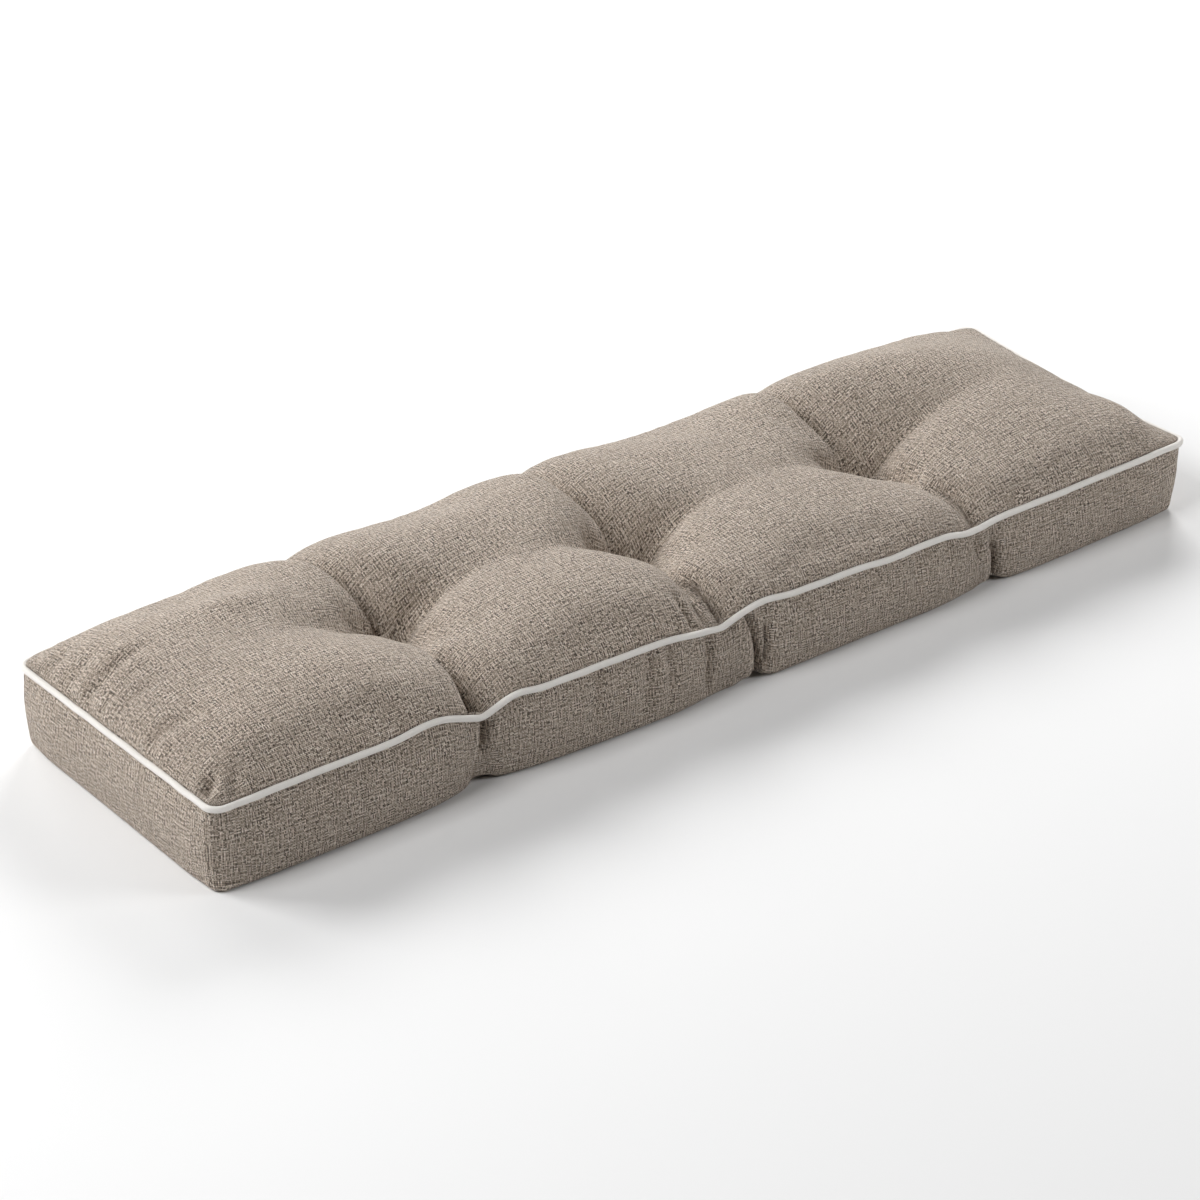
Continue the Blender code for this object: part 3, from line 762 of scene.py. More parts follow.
@dataclass(frozen=True)
class SkinGrid:
    """The cover's mesh layout: a top grid, rings down the sides and a coarser bottom grid.

    The rings go round the box's outline, anticlockwise from the front left corner. Under the
    foot two strips of triangles halve the number of points twice, to the bottom's grid.
    """

    form: CushionForm
    steps_long: int = 456
    steps_deep: int = 124
    groove_rows: int = 6
    side_rows: int = 17
    foot_angles: tuple[float, ...] = (16.0, 32.0, 46.0, 60.0, 72.0, 81.0, 90.0)
    half_inset: float = 0.005
    quarter_inset: float = 0.013
    thick_at_edge: tuple[tuple[float, float], ...] = ((0.010, 2.0), (0.002, 9.0))
    thick_at_crease: tuple[float, float] = (0.032, 1.3)
    thick_at_fold: tuple[float, float] = (0.014, 1.0)
    thick_at_tufts: tuple[float, float, float] = (-0.010, 0.030, 0.5)

    @property
    def lines_x(self) -> Array:
        """Grid lines along the length, closer at the ends and the creases.

        Returns:
            The lines' places, rising.
        """
        thick = []
        for end in (-self.form.half_length, self.form.half_length):
            thick += [(end, *edge) for edge in self.thick_at_edge]
        for tuft in TUFTS:
            thick.append((0.5 * (tuft.x_front + tuft.x_back), *self.thick_at_crease))
            thick.append((tuft.x_fold, *self.thick_at_fold))
        return spaced_lines(-self.form.half_length, self.form.half_length,
                            self.steps_long, tuple(thick))

    @property
    def lines_y(self) -> Array:
        """Grid lines over the depth, closer at the seams and the tufts.

        Returns:
            The lines' places, rising.
        """
        thick = [self.thick_at_tufts]
        for side in (-self.form.half_depth, self.form.half_depth):
            thick += [(side, *edge) for edge in self.thick_at_edge]
        return spaced_lines(-self.form.half_depth, self.form.half_depth,
                            self.steps_deep, tuple(thick))

    @staticmethod
    def ring_indices(count_i: int, count_j: int) -> tuple[Array, Array]:
        """Grid indices of the outline of a grid of count_i by count_j steps.

        Args:
            count_i: steps along the length.
            count_j: steps over the depth.

        Returns:
            Each outline point's index along the length, and over the depth.
        """
        i, j = np.arange(count_i), np.arange(count_j)
        index_i = np.concatenate([i, np.full(count_j, count_i), count_i - i, 0 * j])
        index_j = np.concatenate([0 * i, j, np.full(count_i, count_j), count_j - j])
        return index_i, index_j

    @staticmethod
    def grid_faces(count_i: int, count_j: int, first: int) -> Array:
        """Quads, facing up, of a grid of points whose numbers start at first.

        Args:
            count_i: steps along the length.
            count_j: steps over the depth.
            first: the number of the grid's first point.

        Returns:
            Four point numbers for each quad.
        """
        i, j = np.meshgrid(np.arange(count_i), np.arange(count_j), indexing="ij")
        corner = (i * (count_j + 1) + j).ravel() + first
        return np.stack([corner, corner + count_j + 1, corner + count_j + 2, corner + 1], axis=1)

    @staticmethod
    def halving_faces(fine: Array, coarse: Array) -> Array:
        """Triangles, facing down, between a ring and one inside it with half its points.

        Args:
            fine: point numbers of the outer ring.
            coarse: point numbers of the inner ring.

        Returns:
            Three point numbers for each triangle.
        """
        first, middle, last = fine[0::2], fine[1::2], np.roll(fine[0::2], -1)
        after = np.roll(coarse, -1)
        return np.concatenate([np.stack([coarse, middle, first], axis=1),
                               np.stack([coarse, after, middle], axis=1),
                               np.stack([after, last, middle], axis=1)])

    def rings(self, x: Array, y: Array) -> Array:
        """Points of every ring from the groove's upper lip to the foot, as (row, place, 3).

        Args:
            x: the outline's places along the length.
            y: the outline's places across the depth.

        Returns:
            The points of the rings, from the top one down.
        """
        form = self.form
        angles = np.linspace(form.lip_angle, form.low_lip_angle, self.groove_rows + 1)[1:]
        shares = np.linspace(1.0, 0.0, self.side_rows + 1)[1:]
        rows = [form.groove_point(x, y, angle) for angle in angles]
        rows += [form.side_point(x, y, share) for share in shares]
        rows += [form.foot_point(x, y, angle) for angle in self.foot_angles]
        return np.stack(rows)

    def build(self) -> "Skin":
        """The whole closed skin in the form's shape, before folds are laid in it.

        Returns:
            The skin, with its faces and its cloth coordinates.
        """
        count_i, count_j = self.steps_long, self.steps_deep
        grid_x, grid_y = np.meshgrid(self.lines_x, self.lines_y, indexing="ij")
        top = self.form.top_point(grid_x.ravel(), grid_y.ravel())
        ring_i, ring_j = self.ring_indices(count_i, count_j)
        ring_x, ring_y = self.lines_x[ring_i], self.lines_y[ring_j]
        rings = self.rings(ring_x, ring_y)
        around = len(ring_i)
        half_x, half_y = ring_x[::2], ring_y[::2]
        half = self.form.under_point(*self.shrunk(half_x, half_y, self.half_inset))
        coarse_x, coarse_y = np.meshgrid(self.lines_x[::4], self.lines_y[::4], indexing="ij")
        under = self.form.under_point(*self.shrunk(coarse_x.ravel(), coarse_y.ravel(),
                                                   self.quarter_inset))
        points = np.concatenate([top, rings.reshape(-1, 3), half, under])
        ring_ids = [ring_i * (count_j + 1) + ring_j]
        ring_ids += [len(top) + row * around + np.arange(around) for row in range(len(rings))]
        half_ids = ring_ids[-1][-1] + 1 + np.arange(around // 2)
        under_first = half_ids[-1] + 1
        under_i, under_j = self.ring_indices(count_i // 4, count_j // 4)
        quarter_ids = under_first + under_i * (count_j // 4 + 1) + under_j
        wall = np.concatenate([
            np.stack([lower, np.roll(lower, -1), np.roll(upper, -1), upper], axis=1)
            for upper, lower in zip(ring_ids, ring_ids[1:])])
        top_faces = self.grid_faces(count_i, count_j, 0)
        under_faces = self.grid_faces(count_i // 4, count_j // 4, under_first)[:, ::-1]
        triangles = np.concatenate([self.halving_faces(ring_ids[-1], half_ids),
                                    self.halving_faces(half_ids, quarter_ids)])
        plan = points[:, :2]
        return Skin(
            points=points,
            quads=np.concatenate([top_faces, wall, under_faces]),
            triangles=triangles,
            quad_uv=np.concatenate([self.top_cloth(top)[top_faces],
                                    self.wall_cloth(top[ring_ids[0]], rings),
                                    plan[under_faces]]),
            triangle_uv=plan[triangles],
            plan=np.concatenate([np.stack([grid_x.ravel(), grid_y.ravel()], axis=1),
                                 np.tile(np.stack([ring_x, ring_y], axis=1), (len(rings), 1)),
                                 half[:, :2], under[:, :2]]),
            top_count=len(top),
            wall_count=rings.shape[0] * around,
        )

    def shrunk(self, x: Array, y: Array, inset: float) -> tuple[Array, Array]:
        """Plan places drawn towards the middle so that the outline lies inset further in."""
        return (x * (1.0 - inset / self.form.half_length),
                y * (1.0 - inset / self.form.half_depth))

    def top_cloth(self, top: Array) -> Array:
        """Cloth coordinates of the top panel: mean arc lengths along and across it.

        Args:
            top: the top panel's points.

        Returns:
            Two cloth coordinates for each point, in metres.
        """
        grid = top.reshape(self.steps_long + 1, self.steps_deep + 1, 3)
        step_u = np.linalg.norm(np.diff(grid, axis=0), axis=2).mean(axis=1)
        step_v = np.linalg.norm(np.diff(grid, axis=1), axis=2).mean(axis=0)
        u = np.concatenate([[0.0], np.cumsum(step_u)])
        v = np.concatenate([[0.0], np.cumsum(step_v)])
        return np.stack(np.meshgrid(u, v, indexing="ij"), axis=-1).reshape(-1, 2)

    def wall_cloth(self, lip: Array, rings: Array) -> Array:
        """Cloth coordinates of the sides' face corners: arc length round, and height.

        Args:
            lip: the top panel's outline points.
            rings: the points of the rings below it.

        Returns:
            Two cloth coordinates for each corner of each face, in metres.
        """
        rows = np.concatenate([lip[None], rings])
        step = np.linalg.norm(np.roll(lip, -1, axis=0) - lip, axis=1)
        u = np.concatenate([[0.0], np.cumsum(step)])
        v = np.concatenate([[0.0], np.cumsum(
            np.linalg.norm(np.diff(rows, axis=0), axis=2).mean(axis=1))])
        row, place = np.meshgrid(np.arange(len(rings)), np.arange(len(step)), indexing="ij")
        row, place = row.ravel(), place.ravel()
        low, high = -v[row + 1], -v[row]
        return np.stack([np.stack([u[place], low], axis=1),
                         np.stack([u[place + 1], low], axis=1),
                         np.stack([u[place + 1], high], axis=1),
                         np.stack([u[place], high], axis=1)], axis=1)


@dataclass
class Skin:
    """A closed skin: its points and faces, and cloth coordinates at each face's corners.

    plan holds each point's place on the box from which the form is shaped, and the points
    are those of the top panel, then those of the walls' rings, then those underneath.
    """

    points: Array
    quads: Array
    triangles: Array
    quad_uv: Array
    triangle_uv: Array
    plan: Array
    top_count: int
    wall_count: int

    def normals(self) -> Array:
        """Unit normal at each point: the mean of its faces' normals, weighted by area.

        Returns:
            One direction for each point.
        """
        quads, triangles = self.points[self.quads], self.points[self.triangles]
        flat = np.concatenate([
            np.repeat(np.cross(quads[:, 2] - quads[:, 0], quads[:, 3] - quads[:, 1]), 4, axis=0),
            np.repeat(np.cross(triangles[:, 1] - triangles[:, 0],
                               triangles[:, 2] - triangles[:, 0]), 3, axis=0)])
        corners = np.concatenate([self.quads.ravel(), self.triangles.ravel()])
        total = np.stack([np.bincount(corners, flat[:, axis], len(self.points))
                          for axis in range(3)], axis=1)
        return total / np.linalg.norm(total, axis=1, keepdims=True)

    def to_mesh(self, name: str) -> bpy.types.Mesh:
        """A smooth mesh of the skin, with its cloth coordinates as a UV map.

        Args:
            name: the mesh's name.

        Returns:
            The mesh.
        """
        mesh = bpy.data.meshes.new(name)
        mesh.from_pydata(self.points.tolist(), [], self.quads.tolist() + self.triangles.tolist())
        layer = mesh.uv_layers.new(name=UV_NAME)
        uv = np.concatenate([self.quad_uv.ravel(), self.triangle_uv.ravel()])
        layer.uv.foreach_set("vector", uv.astype(np.float32))
        mesh.shade_smooth()
        return mesh


@dataclass(frozen=True)
class Filling:
    """Presses the stuffing against the top panel with a cloth simulation on a coarse copy.

    The copy is held along the seam and at the tufts, is cut a little too large, and is blown
    up from inside. How far its points move, capped, is then carried to the fine skin.
    """

    form: CushionForm
    steps_long: int = 174
    steps_deep: int = 50
    pressure: float = 4.0
    slack: float = 0.012
    last_frame: int = 20
    quality: int = 6
    cap: float = 0.0022
    seam_hold: float = 0.006
    tuft_hold: float = 0.012
    fade: float = 0.016

    def plan(self) -> Array:
        """Plan places of the copy's points.

        Returns:
            Two coordinates for each point.
        """
        x = np.linspace(-self.form.half_length, self.form.half_length, self.steps_long + 1)
        y = np.linspace(-self.form.half_depth, self.form.half_depth, self.steps_deep + 1)
        return np.stack(np.meshgrid(x, y, indexing="ij"), axis=-1).reshape(-1, 2)

    def from_holds(self, plan: Array) -> Array:
        """Distance of each plan place from the nearest place where the panel is held.

        Args:
            plan: the places.

        Returns:
            The distances, negative inside a hold.
        """
        x, y = plan.T
        away = np.minimum(self.form.half_length - np.abs(x), self.form.half_depth - np.abs(y))
        away = away - self.seam_hold
        for tuft in TUFTS:
            to_tuft = np.hypot(x - tuft.x_tuft, y - tuft.y_tuft)
            away = np.minimum(away, to_tuft - self.tuft_hold)
        return away

    def blow_up(self, points: Array, held: Array) -> Array:
        """Runs the simulation.

        Args:
            points: where the copy's points start.
            held: the numbers of the points that stay where they are.

        Returns:
            Where the points are at the last frame.
        """
        mesh = bpy.data.meshes.new("filling")
        mesh.from_pydata(points.tolist(), [],
                         SkinGrid.grid_faces(self.steps_long, self.steps_deep, 0).tolist())
        piece = bpy.data.objects.new("filling", mesh)
        bpy.context.scene.collection.objects.link(piece)
        piece.vertex_groups.new(name="held").add(held.tolist(), 1.0, "REPLACE")
        cloth = piece.modifiers.new("cloth", "CLOTH")
        cloth.settings.quality = self.quality
        cloth.settings.vertex_group_mass = "held"
        cloth.settings.shrink_min = -self.slack
        cloth.settings.use_pressure = True
        cloth.settings.uniform_pressure_force = self.pressure
        cloth.settings.effector_weights.gravity = 0.0
        cloth.collision_settings.use_collision = False
        cloth.point_cache.frame_start = 1
        cloth.point_cache.frame_end = self.last_frame
        for frame_number in range(1, self.last_frame + 1):
            bpy.context.scene.frame_set(frame_number)
        settled = piece.evaluated_get(bpy.context.evaluated_depsgraph_get()).data
        result = np.zeros(3 * len(points), dtype=np.float32)
        settled.vertices.foreach_get("co", result)
        bpy.data.objects.remove(piece)
        bpy.data.meshes.remove(mesh)
        bpy.context.scene.frame_set(1)
        return result.reshape(-1, 3).astype(float)

    @staticmethod
    def spline_weights(t: Array) -> tuple[Array, ...]:
        """Weights of four neighbours in a row, for a cubic B-spline between the middle two."""
        return ((1 - t) ** 3 / 6, (3 * t ** 3 - 6 * t ** 2 + 4) / 6,
                (-3 * t ** 3 + 3 * t ** 2 + 3 * t + 1) / 6, t ** 3 / 6)

    def carried(self, moves: Array, plan: Array) -> Array:
        """The copy's moves at any plan place, on a smooth spline through its grid.

        Args:
            moves: how far each of the copy's points moves.
            plan: the places at which the moves are wanted.

        Returns:
            The move at each place.
        """
        grid = moves.reshape(self.steps_long + 1, self.steps_deep + 1, 3)
        grid = np.pad(grid, ((1, 2), (1, 2), (0, 0)), mode="edge")
        u = (plan[:, 0] / self.form.length + 0.5) * self.steps_long
        v = (plan[:, 1] / self.form.depth + 0.5) * self.steps_deep
        i = np.clip(u.astype(int), 0, self.steps_long)
        j = np.clip(v.astype(int), 0, self.steps_deep)
        total = np.zeros((len(plan), 3))
        for di, weight_u in enumerate(self.spline_weights(u - i)):
            for dj, weight_v in enumerate(self.spline_weights(v - j)):
                total += (weight_u * weight_v)[:, None] * grid[i + di, j + dj]
        return total

    def press(self, skin: Skin) -> float:
        """Moves the skin's top panel as the simulation does, and returns the largest move.

        Args:
            skin: the skin, whose points are moved.

        Returns:
            The largest move of the simulation, before the cap.
        """
        plan = self.plan()
        points = self.form.top_point(*plan.T)
        held = np.flatnonzero(self.from_holds(plan) <= 0.0)
        moves = self.blow_up(points, held) - points
        size = np.linalg.norm(moves, axis=1, keepdims=True)
        moves *= self.cap * np.tanh(size / self.cap) / np.maximum(size, TINY)
        top = skin.plan[:skin.top_count]
        share = smooth_step(self.from_holds(top) / self.fade)
        skin.points[:skin.top_count] += share[:, None] * self.carried(moves, top)
        return float(size.max())


@dataclass(frozen=True)
class HandFolds:
    """Lays the folds of the tables, the seams' puckers and the filling's lumps in a skin."""

    form: CushionForm
    trough_sharpness: float = 1.4
    lip_place: float = 1.9
    lip_width: float = 1.2
    push_place: float = 0.8
    push_width: float = 0.9
    fold_margin: float = 0.002
    fold_into_seam: float = 0.0005
    facing_from: float = 0.2
    facing_span: float = 0.3
    pucker_height: float = 0.0008
    pucker_cell: float = 0.0065
    pucker_stretch: float = 4.0
    pucker_reach: float = 0.011
    pucker_seed: int = 5
    corner_seam_depth: float = 0.0016
    corner_seam_width: float = 0.0016
    corner_seam_place: float = 0.009
    lump_height: float = 0.0009
    lump_cell: float = 0.070
    crumple_height: float = 0.00035
    crumple_cell: float = 0.022
    lump_margin: float = 0.03
    lump_seed: int = 3
    ray_height: float = 0.0003
    ray_reach: float = 0.034
    ray_margin: float = 0.02
    ray_seed: int = 11
    ray_counts: tuple[int, ...] = (5, 7, 9, 12)
    ray_strengths: tuple[float, float] = (0.3, 0.8)
    ray_steepness: float = 1.5
    wall_margin: float = 0.004
    wall_foot_margin: float = 0.010
    wall_pucker_seed: int = 6
    wall_lump_seed: int = 7

    def stroke(self, fold: Fold, a: Array, b: Array) -> tuple[Array, Array, Array]:
        """One fold over a panel.

        Across the fold, at signed distance q from its line in half widths, the height is
        -depth * exp(-|q|^sharpness) plus a bell of the lip's height on either side, at
        lip_place. The cloth on the left is pushed over the trough by overhang times a bell.

        Args:
            fold: the fold's row.
            a: first coordinate of each point on the panel.
            b: second coordinate of each point on the panel.

        Returns:
            The height along the normal, and the shifts along a and along b.
        """
        run = np.array([fold.a1 - fold.a0, fold.b1 - fold.b0])
        length = np.hypot(*run)
        run = run / length
        t = ((a - fold.a0) * run[0] + (b - fold.b0) * run[1]) / length
        q = (b - fold.b0) * run[0] - (a - fold.a0) * run[1]
        q = (q - fold.bend * 4.0 * t * (1.0 - t)) / fold.width
        fade = smooth_step(t / fold.head) * smooth_step((1.0 - t) / fold.tail)
        height = -fold.depth * np.exp(-np.abs(q) ** self.trough_sharpness)
        height += fold.left_lip * np.exp(-((q - self.lip_place) / self.lip_width) ** 2)
        height += fold.right_lip * np.exp(-((q + self.lip_place) / self.lip_width) ** 2)
        push = fade * fold.overhang * np.exp(-((q - self.push_place) / self.push_width) ** 2)
        return fade * height, push * run[1], -push * run[0]

    def rays(self, x: Array, y: Array) -> Array:
        """Tension wrinkles round the tufts: a sum of seeded waves in the angle round each.

        Args:
            x: place along the length.
            y: place across the depth.

        Returns:
            The height along the normal.
        """
        random = np.random.default_rng(self.ray_seed)
        height = np.zeros_like(x)
        for tuft in TUFTS:
            dx, dy = x - tuft.x_tuft, y - tuft.y_tuft
            reach = np.hypot(dx, dy) / self.ray_reach
            angle = np.arctan2(dy, dx)
            wave = np.zeros_like(x)
            for count in self.ray_counts:
                wave += np.cos(count * angle + random.uniform(0, 2 * np.pi)
                               + random.uniform(-1, 1) * reach
                               ) * random.uniform(*self.ray_strengths)
            height += (wave * reach ** self.ray_steepness
                       * np.exp(self.ray_steepness * (1.0 - reach)))
        return self.ray_height * height

    def unevenness(self, a: Array, b: Array, seed: int) -> Array:
        """Soft lumps of the filling and the finer crumple of the cloth."""
        return (self.lump_height * value_noise(a, b, self.lump_cell, seed)
                + self.crumple_height * value_noise(a, b, self.crumple_cell, seed + 1))

    def puckers(self, run: Array, from_seam: Array, seed: int) -> Array:
        """Gathers along a seam, that fade with the distance from it."""
        wave = value_noise(run, from_seam / self.pucker_stretch, self.pucker_cell, seed)
        return self.pucker_height * wave * np.exp(-from_seam / self.pucker_reach)

    def corner_seams(self, x: Array, y: Array) -> Array:
        """Grooves of the boxing's upright seams, on the end walls just before each corner.

        Args:
            x: place along the length.
            y: place across the depth.

        Returns:
            The height along the normal, negative in the grooves.
        """
        place = (self.form.from_corner(x, y) - self.corner_seam_place) / self.corner_seam_width
        return np.where(self.form.on_end(x, y),
                        -self.corner_seam_depth * np.exp(-place ** 2), 0.0)

    def top_relief(self, x: Array, y: Array) -> Array:
        """Rays, lumps and puckers of the top panel, at plan places.

        Args:
            x: place along the length.
            y: place across the depth.

        Returns:
            The height along the normal.
        """
        from_end, from_side = self.form.half_length - np.abs(x), self.form.half_depth - np.abs(y)
        from_seam = np.minimum(from_end, from_side)
        run = np.where(from_side < from_end, x, y)
        return (self.rays(x, y) * smooth_step(from_seam / self.ray_margin)
                + self.unevenness(x, y, self.lump_seed) * smooth_step(from_seam / self.lump_margin)
                + self.puckers(run, from_seam, self.pucker_seed))

    def wall_relief(self, x: Array, y: Array, drop: Array, level: Array) -> Array:
        """Lumps, puckers and upright seams of the boxing.

        Args:
            x: plan place along the length.
            y: plan place across the depth.
            drop: how far below the top seam the point is.
            level: the point's height.

        Returns:
            The height along the normal.
        """
        run = np.where(self.form.on_end(x, y), y, x)
        return (self.puckers(run, drop, self.wall_pucker_seed)
                + self.unevenness(run, level, self.wall_lump_seed)
                + self.corner_seams(x, y))

    def lay(self, skin: Skin) -> None:
        """Moves the skin's points by every fold, lump and pucker.

        Args:
            skin: the skin, whose points are replaced.
        """
        form = self.form
        normals = skin.normals()
        points = skin.points.copy()
        height = np.zeros(len(points))
        top = slice(0, skin.top_count)
        walls = slice(skin.top_count, skin.top_count + skin.wall_count)
        top_x, top_y = skin.plan[top].T
        wall_x, wall_y = skin.plan[walls].T
        from_seam = np.minimum(form.half_length - np.abs(top_x), form.half_depth - np.abs(top_y))
        level = points[walls, 2]
        drop = form.seam_level(wall_x, wall_y)[0] - level
        inside = (smooth_step((drop - self.wall_margin) / self.wall_margin)
                  * smooth_step(level / self.wall_foot_margin))
        height[top] = self.top_relief(top_x, top_y)
        height[walls] = inside * self.wall_relief(wall_x, wall_y, drop, level)
        out = np.stack(form.outward(wall_x, wall_y), axis=1)
        for panel, folds in FOLDS.items():
            if panel is Panel.TOP:
                part = top
                mask = smooth_step((from_seam + self.fold_into_seam) / self.fold_margin)
            else:
                part = walls
                facing = out @ panel.facing[:2]
                mask = inside * smooth_step((facing - self.facing_from) / self.facing_span)
            place = skin.points[part]
            for fold in folds:
                up, shift_a, shift_b = self.stroke(fold, place @ panel.a_axis,
                                                   place @ panel.b_axis)
                height[part] += mask * up
                points[part] += (mask * shift_a)[:, None] * panel.a_axis
                points[part] += (mask * shift_b)[:, None] * panel.b_axis
        skin.points = points + height[:, None] * normals


class Wiring:
    """Adds nodes to a node tree and joins them; a value may be a number or a socket."""

    def __init__(self, tree: bpy.types.NodeTree) -> None:
        """Takes the tree that the nodes go into."""
        self.tree = tree

    def put(self, socket: bpy.types.NodeSocket, value: object) -> None:
        """Joins a socket to an output, or sets its value.

        Args:
            socket: the input to fill.
            value: an output, or what the input holds.
        """
        if isinstance(value, bpy.types.NodeSocket):
            self.tree.links.new(value, socket)
        else:
            socket.default_value = value

    def node(self, kind: str, inputs: dict | None = None, **settings: object) -> bpy.types.Node:
        """A new node with its settings and inputs.

        Args:
            kind: the node's type.
            inputs: values or sockets by input name or number.
            settings: attributes of the node.

        Returns:
            The node.
        """
        made = self.tree.nodes.new(kind)
        for name, value in settings.items():
            setattr(made, name, value)
        for name, value in (inputs or {}).items():
            self.put(made.inputs[name], value)
        return made

    def math(self, operation: str, *values: object) -> bpy.types.NodeSocket:
        """The result of one Math node."""
        made = self.node("ShaderNodeMath", dict(enumerate(values)), operation=operation)
        return made.outputs[0]

    def noise(self, vector: bpy.types.NodeSocket, **values: float) -> bpy.types.NodeSocket:
        """The value of a Noise Texture at a vector; its inputs are given by their names.

        Args:
            vector: where the noise is read.
            **values: inputs such as scale.

        Returns:
            The noise, about 0 to 1.
        """
        inputs = {name.replace("_", " ").title(): value for name, value in values.items()}
        made = self.node("ShaderNodeTexNoise", {"Vector": vector, **inputs})
        return made.outputs[0]

    def blend(self, share: object, first: object, second: object) -> bpy.types.NodeSocket:
        """first where share is 0, second where it is 1."""
        made = self.node("ShaderNodeMix", {0: share, 2: first, 3: second}, data_type="FLOAT")
        return made.outputs[0]

    def span(self, value: object, start: float, end: float) -> bpy.types.NodeSocket:
        """0 at start and before it, 1 at end and past it, and straight between."""
        made = self.node("ShaderNodeMapRange", {0: value, 1: start, 2: end})
        return made.outputs[0]

    def ramp(self, share: object, stops: tuple) -> bpy.types.NodeSocket:
        """A colour ramp with stops of (place, colour).

        Args:
            share: the place on the ramp, 0 to 1.
            stops: the ramp's stops, in order.

        Returns:
            The colour.
        """
        made = self.node("ShaderNodeValToRGB", {0: share})
        elements = made.color_ramp.elements
        while len(elements) < len(stops):
            elements.new(0.5)
        for element, (place, colour) in zip(elements, stops):
            element.position = place
            element.color = (*colour, 1.0)
        return made.outputs[0]


